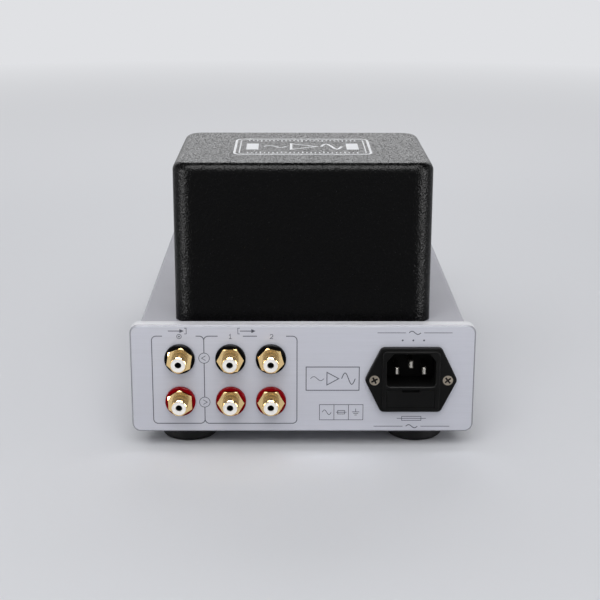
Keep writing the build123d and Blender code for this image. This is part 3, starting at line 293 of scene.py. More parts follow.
# -------------------- Materials
PANEL_SILVER = srgb(194, 195, 203)
# Lighter silver painted on the panel's top and side edges: painted light.
PAINTED_LIGHT_EDGE_SILVER = srgb(226, 226, 230)
CHASSIS_SILVER = srgb(158, 158, 166)
COVER_BLACK = srgb(7, 7, 8)
GOLD = srgb(252, 219, 158)
COLLAR_RED = srgb(126, 1, 11)
GLOSS_BLACK = srgb(9, 9, 10)
INLET_BLACK = srgb(12, 12, 12)
FLUORO_WHITE = srgb(248, 245, 240)
# Near black painted inside the jacks' bores: painted shade.
BORE_PAINTED_SHADE = srgb(6, 5, 5)
NICKEL = srgb(196, 192, 184)
STEEL = srgb(170, 170, 170)
INK_GREY = srgb(78, 80, 92)
INK_WHITE = srgb(232, 233, 236)


def brushed_panel():
    """Anodised plate, its faces brushed from side to side and its edges blasted; its top and side edges
    are painted lighter (painted light) and its bevel darker (painted shade).
    """
    material, tree, shader = finish_of(
        "brushed_anodised_panel", PANEL_SILVER, 0.4, 0.5,
        Anisotropic=0.6, Anisotropic_Rotation=0.25, specular=0.2,
    )
    hair = grain_of(tree, (26.0, 0.22, 0.22), 4.0)
    band = grain_of(tree, (60.0, 2.2, 2.2), 3.0)
    both = maths(tree, "ADD", maths(tree, "MULTIPLY", hair, 0.65), maths(tree, "MULTIPLY", band, 0.35))
    face = facing(tree, "Y", 0.78, 0.92)
    brushed = mixed(tree, both, darker(PANEL_SILVER, 0.93), darker(PANEL_SILVER, 1.04))
    # Edges facing up or sideways are painted a lighter silver (painted light), the bevel a much darker
    # one (painted shade).
    edge = mixed(tree, facing(tree, "Y", 0.35, 0.6), PAINTED_LIGHT_EDGE_SILVER, darker(PANEL_SILVER, 0.55))
    tint(tree, shader, face, edge, brushed)
    tree.links.new(ranged(tree, face, 0.05, 0.45), shader.inputs["Metallic"])
    flat = facing(tree, "Y", 0.98, 0.999)
    roughen(tree, shader, maths(tree, "MULTIPLY", both, flat), 0.46, 0.34)
    emboss(tree, shader, maths(tree, "MULTIPLY", hair, flat), 0.006)
    return material


def satin_paint(name, colour):
    """Silver paint with fine metal flake and a slight orange peel."""
    material, tree, shader = finish_of(name, colour, 0.5, 0.3)
    flake = grain_of(tree, 0.18, 3.0)
    peel = grain_of(tree, 1.6, 1.0)
    haze = grain_of(tree, 45.0, 2.0)
    tint(tree, shader, flake, darker(colour, 0.88), darker(colour, 1.05))
    roughen(tree, shader, haze, 0.46, 0.56)
    emboss(tree, shader, peel, 0.02)
    return material


def wrinkle_paint():
    """Black paint with winding ridges, worn smooth on their tops, painted darker in the hollows between
    them (painted shade), and speckled where it lies level.
    """
    material, tree, shader = finish_of("black_wrinkle_paint", COVER_BLACK, 0.3, specular=0.075)
    ridges = use(tree, wrinkle, Size=0.75, Winding=0.8)
    lumps = grain_of(tree, 1.5, 1.0)
    speckle = grain_of(tree, (0.9, 2.4, 0.9), 1.0)
    # Hollows between the ridges are painted much darker than their tops: painted shade.
    tint(tree, shader, ridges["Tops"], darker(COVER_BLACK, 0.3), darker(COVER_BLACK, 1.2))
    worn = ranged(tree, maths(tree, "MULTIPLY", ridges["Tops"], lumps), 0.3, 0.15, 0.0, 0.45)
    speckled = ranged(tree, speckle, 0.4, 0.1, 0.2, 0.65)
    roughness = blended(tree, facing(tree, "Z", 0.9, 1.0), worn, speckled)
    tree.links.new(roughness, shader.inputs["Roughness"])
    emboss(tree, shader, maths(tree, "ADD", ridges["Height"], lumps), 0.11)
    return material


def plated(name, colour, roughness, haze_size=14.0):
    """Polished plating with a faint unevenness."""
    material, tree, shader = finish_of(name, colour, roughness, 1.0)
    haze = grain_of(tree, haze_size, 3.0)
    scratch = grain_of(tree, (0.12, 1.4, 1.4), 2.0)
    tint(tree, shader, haze, darker(colour, 0.93), colour)
    roughen(tree, shader, haze, roughness * 0.8, roughness * 1.3)
    emboss(tree, shader, scratch, 0.002)
    return material


def moulded(name, colour, roughness, grain_size=0.35, depth=0.012, specular=0.5):
    """Moulded plastic, rubber or ceramic with a fine skin."""
    material, tree, shader = finish_of(name, colour, roughness, specular=specular)
    skin = grain_of(tree, grain_size, 3.0)
    haze = grain_of(tree, 12.0, 2.0)
    tint(tree, shader, haze, darker(colour, 0.86), darker(colour, 1.1))
    roughen(tree, shader, haze, roughness * 0.88, roughness * 1.12)
    emboss(tree, shader, skin, depth)
    return material


def jack_plating():
    """Gold plate over a turned barrel with fine grooves round it; the barrel's and hex's sides and the
    grooves are painted dark gold (painted reflection and painted shade).
    """
    material, tree, shader = finish_of("jack_gold_plate", GOLD, 0.13, 1.0)
    groove = grain_of(tree, (900.0, 0.55, 900.0), 1.0)
    haze = grain_of(tree, 5.0, 3.0)
    # Sides away from the jack's axis, and the grooves between crests, are painted dark gold: a painted
    # reflection of dark surroundings, and painted shade in the grooves.
    crest = ranged(tree, groove, 0, 0.6, 0.5, 0.9)
    gold_not_painted_dark = maths(tree, "MAXIMUM", crest, facing(tree, "Y", 0.2, 0.5))
    tint(tree, shader, gold_not_painted_dark, darker(GOLD, 0.14), GOLD)
    roughen(tree, shader, haze, 0.1, 0.2)
    emboss(tree, shader, groove, 0.06)
    return material


def contact_plating(bore_floor, lip):
    """Gold behind the bore's floor, the bore itself painted near black and not metallic (painted shade),
    and a white insulating lip round its mouth.
    """
    material, tree, shader = finish_of("jack_contact", GOLD, 0.3, 1.0)
    haze = grain_of(tree, 3.0, 2.0)
    depth = along(tree, own_place(tree), "Y")
    # Within the bore's depth the gold gives way to near black: painted shade.
    bore = ranged(tree, depth, 0, 1, bore_floor - 0.2 * MM, bore_floor - 0.1 * MM)
    mouth = ranged(tree, depth, 0, 1, lip - 0.25 * MM, lip - 0.1 * MM)
    inside = mixed(tree, bore, mixed(tree, haze, darker(GOLD, 0.86), GOLD), BORE_PAINTED_SHADE)
    tint(tree, shader, mouth, inside, FLUORO_WHITE)
    tree.links.new(maths(tree, "SUBTRACT", 1.0, bore), shader.inputs["Metallic"])
    roughen(tree, shader, haze, 0.26, 0.36)
    return material


def turned(name, colour, centre, roughness=0.28, pitch=0.12):
    """Metal of the front with turning marks round a centre."""
    material, tree, shader = finish_of(name, colour, roughness, 1.0)
    inputs = {"Centre": tuple(centre), "Across": (1.0, 0.0, 1.0), "Pitch": pitch}
    rings = use(tree, turning, **inputs)["Height"]
    tint(tree, shader, rings, darker(colour, 0.85), darker(colour, 1.05))
    roughen(tree, shader, rings, roughness * 0.8, roughness * 1.3)
    emboss(tree, shader, rings, 0.01)
    return material


def striped(name, colour, size, dark_share, roughness, metallic, depth):
    """Layers or turns side by side: laminations and windings."""
    material, tree, shader = finish_of(name, colour, roughness, metallic)
    layers = grain_of(tree, size, 1.0)
    tint(tree, shader, layers, darker(colour, dark_share), colour)
    roughen(tree, shader, layers, roughness * 1.2, roughness * 0.8)
    emboss(tree, shader, layers, depth)
    return material


def clear_glass(name, colour):
    """Glass that lets the lamps' light through to what is inside it."""
    material, tree, shader = finish_of(name, colour, 0.03, 0.0, Transmission_Weight=1.0, IOR=1.48)
    roughen(tree, shader, grain_of(tree, 16.0, 2.0), 0.01, 0.05)
    clear = add_node(tree, "BsdfTransparent", {"Color": (0.94, 0.96, 0.96, 1.0)})
    shadow = add_node(tree, "LightPath").outputs["Is Shadow Ray"]
    show(tree, mixed_shaders(tree, shadow, shader, clear))
    return material


def ink(name, colour):
    """Screen-printed ink with a slightly uneven cover."""
    material, tree, shader = finish_of(name, colour, 0.5)
    cover = grain_of(tree, 0.3, 3.0)
    tint(tree, shader, cover, darker(colour, 0.85), colour)
    roughen(tree, shader, cover, 0.45, 0.6)
    return material


button_low, button_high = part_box("power_button")
button_centre = (button_low + button_high) / 2

materials = {
    "panel_aluminium": brushed_panel(),
    "chassis_paint": satin_paint("satin_silver_paint", CHASSIS_SILVER),
    "base_steel": satin_paint("base_plate_paint", darker(CHASSIS_SILVER, 0.85)),
    "foot_rubber": moulded("foot_rubber", srgb(10, 10, 11), 0.5, 0.25, 0.02, specular=0.2),
    "screw_steel": plated("screw_nickel", STEEL, 0.3, 3.0),
    "cover_paint": wrinkle_paint(),
    "core_steel": striped("core_laminations", srgb(96, 96, 100), (40.0, 0.5, 40.0), 0.35, 0.5, 0.6, 0.05),
    "bobbin_plastic": moulded("bobbin_nylon", srgb(222, 216, 196), 0.5),
    "winding_copper": striped(
        "winding_copper", srgb(190, 104, 58), (30.0, 30.0, 0.4), 0.45, 0.3, 0.9, 0.12
    ),
    "bracket_steel": plated("bracket_zinc", srgb(176, 178, 180), 0.4),
    "grommet_rubber": moulded("grommet_rubber", srgb(30, 30, 30), 0.6),
    "jack_gold": jack_plating(),
    "collar_black": moulded("collar_gloss_black", GLOSS_BLACK, 0.24, 3.0, 0.004, specular=0.03),
    "collar_red": moulded("collar_gloss_red", COLLAR_RED, 0.26, 3.0, 0.004, specular=0.04),
    "dielectric_white": moulded("jack_insulator_white", FLUORO_WHITE, 0.38, 0.6, 0.004),
    "inlet_plastic": moulded("inlet_black_moulding", INLET_BLACK, 0.5, 0.18, 0.015, specular=0.06),
    "pin_nickel": plated("pin_nickel", NICKEL, 0.22),
    "fuse_glass": clear_glass("fuse_glass", (0.95, 0.98, 0.98, 1.0)),
    "button_aluminium": turned("button_turned_face", srgb(205, 206, 210), button_centre),
    "bezel_chrome": turned("bezel_polished", srgb(215, 215, 218), button_centre, 0.12, 0.3),
    "switch_plastic": moulded("switch_black", srgb(28, 28, 30), 0.45),
    "lamp_lens": moulded("pilot_lens_blue", srgb(130, 180, 225), 0.12, 2.0, 0.004),
    "socket_ceramic": moulded("socket_ceramic", srgb(228, 224, 214), 0.22, 1.5, 0.008),
    "valve_base_plastic": moulded("valve_base_phenolic", srgb(44, 28, 22), 0.22, 1.2, 0.006),
    "valve_pin_metal": plated("valve_pin_tin", srgb(200, 198, 190), 0.3, 2.0),
    "valve_glass": clear_glass("valve_glass", (0.98, 0.99, 0.99, 1.0)),
    "electrode_metal": plated("electrode_nickel", srgb(120, 120, 122), 0.45, 3.0),
    "board_laminate": moulded("board_green_lacquer", srgb(34, 92, 58), 0.35),
    "standoff_brass": plated("standoff_brass", srgb(214, 184, 120), 0.3),
    "capacitor_sleeve": moulded("capacitor_sleeve", srgb(36, 42, 84), 0.3, 1.0, 0.01),
    "film_capacitor": moulded("film_capacitor_case", srgb(190, 96, 34), 0.3, 1.0, 0.01),
}
dark_ink = ink("legend_ink", INK_GREY)
white_ink = ink("cover_print_ink", INK_WHITE)
# Near-black colour for the cross recesses of screw heads: painted shade in the recesses.
recess_painted_shade = moulded("screw_recess_painted_shade", srgb(16, 14, 12), 0.6, 0.3, 0.01, specular=0.1)

BORE_DEPTH = 9.0 * MM
contact_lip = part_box("jack_contacts")[1].y
own_materials = {
    "jack_contacts": contact_plating(contact_lip - BORE_DEPTH, contact_lip),
    "inlet_screws": plated("inlet_screw_dull_nickel", srgb(150, 141, 128), 0.36, 3.0),
    "fuse_caps": plated("fuse_cap_nickel", srgb(158, 156, 150), 0.4, 3.0),
}
slot_of = {subpart["node"]: subpart["material_slot"] for subpart in frame["record"]["subparts"]}


def finish_for(node):
    return own_materials.get(node, materials[slot_of[node]])


for node in slot_of:
    mesh = nodes[node].data
    mesh.materials.clear()
    mesh.materials.append(finish_for(node))


# -------------------- Making pieces
WAVE_STEPS = 12


def mesh_from(name, shape, smooth_angle=None):
    """A mesh from a bmesh, with shading smooth up to an angle in degrees if one is given."""
    bmesh.ops.recalc_face_normals(shape, faces=shape.faces)
    mesh = bpy.data.meshes.new(name)
    shape.to_mesh(mesh)
    shape.free()
    if smooth_angle:
        mesh.polygons.foreach_set("use_smooth", [True] * len(mesh.polygons))
        mesh.set_sharp_from_angle(angle=math.radians(smooth_angle))
    return mesh


def piece(name, shape, material, body, smooth_angle=None):
    mesh = mesh_from(name, shape, smooth_angle)
    mesh.materials.append(material)
    made = bpy.data.objects.new(name, mesh)
    bpy.context.scene.collection.objects.link(made)
    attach(made, body)
    return made


def arc(centre, radius, start, end, steps=8):
    """Points of a circle from one angle to another, in degrees."""
    made = []
    for step in range(steps + 1):
        angle = math.radians(start + (end - start) * step / steps)
        made.append((centre[0] + radius * math.cos(angle), centre[1] + radius * math.sin(angle)))
    return made


def circle(radius, count, centre=(0, 0)):
    """Points evenly round a circle."""
    return arc(centre, radius, 0, 360 - 360 / count, count - 1)


def box(left, right, low, top):
    """The four corners of a rectangle."""
    return [(left, low), (right, low), (right, top), (left, top)]


def rounded_box(width, depth, radius, steps=5):
    """Points round a rectangle with rounded corners about the origin."""
    points = []
    for side_u, side_v, start in ((1, 1, 0), (-1, 1, 90), (-1, -1, 180), (1, -1, 270)):
        centre = (side_u * (width / 2 - radius), side_v * (depth / 2 - radius))
        points += arc(centre, radius, start, start + 90, steps)
    return points


def bridge(shape, first, second):
    """Faces between two rings of as many corners."""
    made = []
    for step in range(len(first)):
        after = (step + 1) % len(first)
        made.append(shape.faces.new((first[step], first[after], second[after], second[step])))
    return made


def skin(shape, rings, closed=False):
    """Faces along a row of rings, which closes on itself or has an end face at each end."""
    for one, two in zip(rings, rings[1:] + rings[:1] if closed else rings[1:]):
        bridge(shape, one, two)
    if not closed:
        for end in (rings[0], rings[-1]):
            shape.faces.new(end)


class Print:
    """Ink on a flat face. Shapes are in the face's millimetres; place turns them into metres."""

    def __init__(self, place, thickness=0.03):
        self.place = place
        self.thickness = thickness
        self.shape = bmesh.new()

    def corners(self, points, height):
        return [self.shape.verts.new(self.place(u, v, height)) for u, v in points]

    def line(self, points, width, closed=False):
        """A line of even width through points, mitred at its corners, as a thin solid."""
        left, right = [], []
        count = len(points)
        for step, (u, v) in enumerate(points):
            before = points[step - 1] if closed or step else None
            after = points[(step + 1) % count] if closed or step < count - 1 else None
            sides = []
            for one, two in ((before, (u, v)), ((u, v), after)):
                if one is not None and two is not None:
                    run = Vector((two[0] - one[0], two[1] - one[1])).normalized()
                    sides.append(Vector((-run.y, run.x)))
            side = (sides[0] + sides[-1]).normalized()
            reach = width / 2 / max(side.dot(sides[0]), 0.4)
            left.append((u + side.x * reach, v + side.y * reach))
            right.append((u - side.x * reach, v - side.y * reach))
        low_left, low_right, top_left, top_right = (
            self.corners(edge, height) for height in (0.0, self.thickness) for edge in (left, right)
        )
        skin(self.shape, list(zip(low_left, low_right, top_right, top_left)), closed)

    def area(self, points):
        """A filled outline, as a thin solid."""
        skin(self.shape, [self.corners(points, height) for height in (0.0, self.thickness)])

    def rule(self, start, end, level, width):
        """A level line."""
        self.line([(start, level), (end, level)], width)

    def wave(self, start, end, level, height, width):
        """One cycle of alternating current."""
        points = []
        for step in range(WAVE_STEPS + 1):
            share = step / WAVE_STEPS
            rise = height * math.sin(2 * math.pi * share)
            points.append((start + (end - start) * share, level + rise))
        self.line(points, width)


# -------------------- Legends on the rear panel
# Millimetres to the right and up from the middle of the panel's lower edge.
panel_low, panel_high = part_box("rear_panel")
LINE, THIN_LINE = 0.45, 0.32
FRAME_LEFT, FRAME_MIDDLE, FRAME_RIGHT = -76.4, -50.05, -2.95
FRAME_BOTTOM, FRAME_TOP = 4.5, 51.4
FRAME_RADIUS = 2.3
INPUT_GAP = (-71.0, -54.1)
OUTPUT_GAPS = ((-43.0, -30.3), (-23.2, -8.5))
CHANNEL_LEVELS = (39.7, 16.05)
CHANNEL_RADIUS = 2.7
ARROW_LEVEL, INPUT_ARROW, OUTPUT_ARROW = 54.1, -62.4, -26.2
PAIR_LEVEL, INPUT_RING = 51.2, -62.5
SIGNAL_PLATE = (1.7, 28.7, 22.5, 35.0)
MAINS_PLATE = (8.6, 30.9, 6.4, 14.7)
INLET_RULES = ((37.6, 75.5, 53.2), (36.5, 75.5, 2.9))
INLET_MIDDLE, INLET_FUSE_LEVEL = 55.8, 7.2
DOT_LEVEL, DOT_PITCH = 49.2, 5.4


def on_rear_panel(u, v, height):
    """u to the right and v up, facing the sockets."""
    return Vector((-u * MM, panel_high.y + height * MM, panel_low.z + v * MM))


def socket_frames(legends):
    """Ruled frames round the input pair and the two output pairs, open at the top for their marks."""
    r = FRAME_RADIUS
    left, middle, right = FRAME_LEFT, FRAME_MIDDLE, FRAME_RIGHT
    low, top = FRAME_BOTTOM, FRAME_TOP
    legends.line(
        [(INPUT_GAP[0], top)]
        + arc((left + r, top - r), r, 90, 180)
        + arc((left + r, low + r), r, 180, 270)
        + arc((middle - r, low + r), r, 270, 360),
        LINE,
    )
    legends.line([(INPUT_GAP[1], top)] + arc((middle - r, top - r), r, 90, 0), LINE)
    legends.line(arc((middle + r, top - r), r, 180, 90) + [(OUTPUT_GAPS[0][0], top)], LINE)
    legends.rule(OUTPUT_GAPS[0][1], OUTPUT_GAPS[1][0], top, LINE)
    legends.line(
        [(OUTPUT_GAPS[1][1], top)]
        + arc((right - r, top - r), r, 90, 0)
        + arc((right - r, low + r), r, 0, -90)
        + arc((middle + r, low + r), r, 270, 180),
        LINE,
    )
    stops = [top - r]
    for level in CHANNEL_LEVELS:
        stops += [level + CHANNEL_RADIUS, level - CHANNEL_RADIUS]
    stops.append(low + r)
    for start, end in zip(stops[::2], stops[1::2]):
        legends.line([(middle, start), (middle, end)], LINE)


def channel_marks(legends):
    """A ringed arrowhead beside each row: to the left for one channel, to the right for the other."""
    for level, way in zip(CHANNEL_LEVELS, SIDES):
        legends.line(circle(CHANNEL_RADIUS, 32, (FRAME_MIDDLE, level)), THIN_LINE, True)
        tip = (FRAME_MIDDLE + way * 1.25, level)
        back = FRAME_MIDDLE - way * 0.75
        legends.line([(back, level + 1.25), tip, (back, level - 1.25)], THIN_LINE)


def direction_marks(legends):
    """An arrow into a bracket over the input, and one out of a bracket over the outputs."""
    level = ARROW_LEVEL
    for centre, bar_offset, hook_offset in ((INPUT_ARROW, 3.6, -1.0), (OUTPUT_ARROW, -6.6, 1.0)):
        tip = centre + 2.4
        legends.rule(centre - 5.6, tip - 1.2, level, LINE)
        legends.area([(tip, level), (tip - 2.2, level + 1.05), (tip - 2.2, level - 1.05)])
        bar = centre + bar_offset
        hook = bar + hook_offset
        upper, lower = level + 1.5, level - 1.5
        legends.line([(hook, upper), (bar, upper), (bar, lower), (hook, lower)], THIN_LINE)


def pair_marks(legends):
    """A ring and dot over the input pair, the numerals 1 and 2 over the output pairs."""
    level = PAIR_LEVEL
    foot = level - 1.1
    legends.line(circle(1.15, 24, (INPUT_RING, level)), THIN_LINE, True)
    legends.area(circle(0.45, 12, (INPUT_RING, level)))
    one, two = [sum(gap) / 2 for gap in OUTPUT_GAPS]
    legends.line([(one - 0.55, level + 0.6), (one, level + 1.15), (one, level - 1.25)], THIN_LINE)
    legends.rule(one - 0.7, one + 0.7, foot, THIN_LINE)
    curve = arc((two, level + 0.45), 0.72, 165, -40)
    legends.line(curve + [(two - 0.75, foot), (two + 0.8, foot)], THIN_LINE)


def signal_plate(legends):
    """A ruled box with the sign of an amplifier: small wave, triangle, large wave."""
    left, right, low, top = SIGNAL_PLATE
    legends.line(box(*SIGNAL_PLATE), LINE, True)
    middle, level = (left + right) / 2, (low + top) / 2
    legends.wave(left + 2.2, middle - 4.4, level, 1.1, THIN_LINE)
    back = middle - 2.9
    legends.line([(back, level + 3.4), (middle + 3.1, level), (back, level - 3.4)], LINE, True)
    legends.wave(middle + 4.6, right - 2.0, level, 3.1, LINE)


def fuse_sign(legends, centre, level, length, height):
    half = length / 2
    legends.rule(centre - half, centre + half, level, THIN_LINE)
    reach = half * 0.66
    outline = box(centre - reach, centre + reach, level - height / 2, level + height / 2)
    legends.line(outline, THIN_LINE, True)


def earth_sign(legends, centre, level):
    legends.line([(centre, level + 2.0), (centre, level + 0.2)], THIN_LINE)
    for step, half in enumerate((1.9, 1.25, 0.6)):
        legends.rule(centre - half, centre + half, level + 0.2 - 0.85 * step, THIN_LINE)


def mains_plate(legends):
    """A ruled strip with the signs for alternating current, a fuse and earth."""
    left, right, low, top = MAINS_PLATE
    legends.line(box(*MAINS_PLATE), THIN_LINE, True)
    level = (low + top) / 2
    third = (right - left) / 3
    for divider in (left + third, left + 2 * third):
        legends.line([(divider, low), (divider, top)], THIN_LINE)
    legends.wave(left + 1.4, left + third - 1.4, level, 1.3, THIN_LINE)
    fuse_sign(legends, left + 1.5 * third, level, 5.4, 1.9)
    earth_sign(legends, left + 2.5 * third, level)


def inlet_marks(legends):
    """Rules over and under the mains inlet with the signs for alternating current and a fuse."""
    for left, right, level in INLET_RULES:
        middle = (left + right) / 2
        legends.rule(left, middle - 4.6, level, THIN_LINE)
        legends.rule(middle + 4.6, right, level, THIN_LINE)
        legends.wave(middle - 3.0, middle + 3.0, level, 0.85, LINE)
    fuse_sign(legends, INLET_MIDDLE, INLET_FUSE_LEVEL, 15.0, 2.2)
    for step in (-1, 0, 1):
        legends.area(circle(0.5, 12, (INLET_MIDDLE + step * DOT_PITCH, DOT_LEVEL)))


rear_print = Print(on_rear_panel)
for draw in (
    socket_frames, channel_marks, direction_marks, pair_marks, signal_plate, mains_plate, inlet_marks
):
    draw(rear_print)
piece("rear_legends", rear_print.shape, dark_ink, "unit")

# -------------------- Print on the cover
cover_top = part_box("transformer_cover")[1].z
EMBLEM_SETBACK = 64.6  # rear panel's face to the print's centre
EMBLEM_WIDTH, EMBLEM_DEPTH = 71.0, 50.0
TICKS, TICK_PITCH = 27, 2.2
BAR_PLACE, BAR_WIDTH, BAR_DEPTH = 26.5, 6.4, 19.0


def on_cover(u, v, height):
    """u to the right and v away, from the print's centre, facing the sockets."""
    return Vector((-u * MM, panel_high.y - (EMBLEM_SETBACK + v) * MM, cover_top + height * MM))


def cover_print():
    """Double frame, two scales of ticks and the sign of an amplifier between solid bars."""
    emblem = Print(on_cover, 0.02)
    emblem.line(rounded_box(EMBLEM_WIDTH, EMBLEM_DEPTH, 5.0), 1.3, True)
    emblem.line(rounded_box(EMBLEM_WIDTH - 5.0, EMBLEM_DEPTH - 5.0, 3.4), 0.6, True)
    for side in SIDES:
        start = side * (EMBLEM_DEPTH / 2 - 4.4)
        for step in range(TICKS):
            u = (step - TICKS // 2) * TICK_PITCH
            length = 4.6 if step % 5 == 3 else 2.8
            emblem.line([(u, start), (u, start - side * length)], 0.7)
        bar = side * BAR_PLACE
        emblem.area(box(bar - BAR_WIDTH / 2, bar + BAR_WIDTH / 2, -BAR_DEPTH / 2, BAR_DEPTH / 2))
    emblem.wave(-20.5, -8.5, 0.0, 3.2, 1.1)
    emblem.line([(-6.0, 9.0), (7.5, 0.0), (-6.0, -9.0)], 1.3, True)
    emblem.wave(10.0, 21.0, 0.0, 8.2, 1.5)
    piece("cover_print", emblem.shape, white_ink, "unit")


cover_print()


# -------------------- Turned and drawn shapes
def level_of(shape, place, outline, height):
    """An outline's corners at a height, from a local place in millimetres to the shape."""
    return [shape.verts.new(place @ Vector((u, v, height))) for u, v in outline]


def prism(shape, place, outline, low, high):
    """A solid of even section between two heights."""
    skin(shape, [level_of(shape, place, outline, height) for height in (low, high)])


def lathe(shape, place, profile, count=32, closed=True):
    """A turned solid from (radius, height) pairs; a radius of 0 closes an end in a point."""
    rings = []
    for radius, height in profile:
        outline = circle(radius, count) if radius else [(0, 0)]
        rings.append(level_of(shape, place, outline, height))
    for one, two in zip(rings, rings[1:]):
        if len(one) == 1 or len(two) == 1:
            tip, rim = sorted((one, two), key=len)
            for step in range(count):
                shape.faces.new((tip[0], rim[step], rim[(step + 1) % count]))
        else:
            bridge(shape, one, two)
    if closed:
        for end in (rings[0], rings[-1]):
            shape.faces.new(end)
    return rings


def rod(shape, place, u, v, low, high, radius):
    """An upright rod with eased ends."""
    tip = radius * 0.8
    profile = [(tip, low), (radius, low + 0.2), (radius, high - 0.2), (tip, high)]
    lathe(shape, place @ Matrix.Translation((u, v, 0)), profile, 12)


def wire(shape, place, points, radius, closed=False, sides=8):
    """A round wire along points in millimetres."""
    rings = []
    count = len(points)
    for step, point in enumerate(points):
        before = points[step - 1] if closed or step else point
        after = points[(step + 1) % count] if closed or step < count - 1 else point
        run = (Vector(after) - Vector(before)).normalized()
        side = run.orthogonal() if abs(run.z) > 0.9 else run.cross(Vector((0, 0, 1)))
        side.normalize()
        up = run.cross(side)
        section = [Vector(point) + u * side + v * up for u, v in circle(radius, sides)]
        rings.append([shape.verts.new(place @ corner) for corner in section])
    skin(shape, rings, closed)


# -------------------- Screws
# Shares are of the head's radius or height, or of the shank's radius.
SCREW_SIDES = 24
CROSS_REACH, CROSS_HALF, CROSS_FLOOR = 0.7, 0.18, 0.7
CROSS_TURN, CROSS_DRIFT = 0.4, 37.0  # radians, and radians for each metre between screws
THREAD_PITCH, THREAD_ROOT, THREAD_TIP = 0.7, 0.8, 0.7
SUNK_RECESS = 0.75
HEAD_DOME, HEAD_RECESS = 0.55, 0.62
SAME_RADIUS = 0.02
SAME_PLACE = 1e-7


def loose_parts(mesh):
    """The separate solids of a node's mesh, each as the list of its faces' corner points."""
    shape = bmesh.new()
    shape.from_mesh(mesh)
    bmesh.ops.remove_doubles(shape, verts=shape.verts, dist=SAME_PLACE)
    done = set()
    parts = []
    for start in shape.faces:
        if start.index in done:
            continue
        done.add(start.index)
        found, waiting = [], [start]
        while waiting:
            face = waiting.pop()
            found.append([corner.co.copy() for corner in face.verts])
            for edge in face.edges:
                for other in edge.link_faces:
                    if other.index not in done:
                        done.add(other.index)
                        waiting.append(other)
        parts.append(found)
    shape.free()
    return parts


def cross_outline(reach, half):
    """The twelve corners of a cross."""
    corners = [(reach, -half), (reach, half), (half, half)]
    outline = []
    for _ in range(4):
        outline += corners
        corners = [(-v, u) for u, v in corners]
    return outline


def crossed_top(shape, place, rim, radius, top, dome, depth):
    """The top of a screw's head: a dome from its rim ring to its middle, with a cross recess."""
    reach, half = CROSS_REACH * radius, CROSS_HALF * radius
    outline = cross_outline(reach, half)
    corners = len(outline)
    first = 2 * SCREW_SIDES
    flat = circle(radius, SCREW_SIDES) + circle(0.8 * radius, SCREW_SIDES) + outline
    points = [Vector(point) for point in flat]
    edges = [(first + k, first + (k + 1) % corners) for k in range(corners)]
    found, _, faces, sources, _, _ = delaunay_2d_cdt(points, edges, [], 0, SAME_PLACE)
    made = []
    mouth = [None] * corners
    for point, source in zip(found, sources):
        if source and source[0] < SCREW_SIDES:
            made.append(rim[source[0]])
            continue
        height = top - dome * (point.length / radius) ** 2
        made.append(shape.verts.new(place @ Vector((point.x, point.y, height))))
        if source and source[0] >= first:
            mouth[source[0] - first] = made[-1]
    for face in faces:
        centre = sum((found[k] for k in face), Vector((0, 0))) / len(face)
        narrow, wide = sorted((abs(centre.x), abs(centre.y)))
        if wide >= reach or narrow >= half:
            shape.faces.new([made[k] for k in face])
    narrowed = [(CROSS_FLOOR * u, CROSS_FLOOR * v) for u, v in outline]
    floor = level_of(shape, place, narrowed, top - depth)
    # The recess's walls and floor take the second material, the painted shade.
    for face in [*bridge(shape, mouth, floor), shape.faces.new(floor)]:
        face.material_index = 1


def screw(shape, points, axis):
    """A cross-recessed screw in the place and size of its plain solid, with a ringed thread."""
    across = [k for k in range(3) if k != axis]
    middle = [(min(p[k] for p in points) + max(p[k] for p in points)) / 2 for k in across]
    radii = {}  # the widest radius at each level along the axis
    for point in points:
        radius = math.hypot(point[across[0]] - middle[0], point[across[1]] - middle[1]) / MM
        level = round(point[axis] / MM, 2)
        radii[level] = max(radius, radii.get(level, 0))
    low, high = min(radii), max(radii)
    way = 1 if radii[high] > radii[low] else -1
    top, end = (high, low) if way == 1 else (low, high)
    head_radius, shank_radius = radii[top], radii[end]
    wide = [level for level in radii if radii[level] > head_radius - SAME_RADIUS]
    sunk = len(wide) == 1
    if sunk:
        seat = [k for k in radii if radii[k] < shank_radius + SAME_RADIUS and k != end][0]
    else:
        seat = min(wide, key=lambda level: level * way)
    origin, out = Vector((0, 0, 0)), Vector((0, 0, 0))
    origin[axis], out[axis] = seat * MM, way
    origin[across[0]], origin[across[1]] = middle
    place = Matrix.Translation(origin) @ out.to_track_quat("Z", "Y").to_matrix().to_4x4()
    turn = CROSS_TURN + CROSS_DRIFT * (middle[0] + middle[1])
    place = place @ Matrix.Scale(MM, 4) @ Matrix.Rotation(turn, 4, "Z")
    head, length = abs(top - seat), abs(end - seat)
    profile = [(shank_radius * THREAD_TIP, -length)]
    steps = 2 * int(length / THREAD_PITCH)
    for step in range(1, steps + 1):
        radius = shank_radius * (1.0 if step % 2 else THREAD_ROOT)
        profile.append((radius, -length * (1 - step / steps)))
    if sunk:
        profile.append((head_radius, head))
        dome, depth = 0.0, SUNK_RECESS
    else:
        profile += [(head_radius * 0.97, 0.0), (head_radius, 0.08), (head_radius, head * 0.45)]
        dome, depth = head * HEAD_DOME, head * HEAD_RECESS
    rings = lathe(shape, place, profile, SCREW_SIDES, closed=False)
    shape.faces.new(rings[0])
    crossed_top(shape, place, rings[-1], head_radius, head, dome, depth)


def nut(shape, faces):
    """A nut as it is, its faces joined at their corners."""
    corners = {}
    for face in faces:
        keys = [tuple(round(part, 7) for part in corner) for corner in face]
        for key in keys:
            if key not in corners:
                corners[key] = shape.verts.new(key)
        shape.faces.new([corners[key] for key in keys])


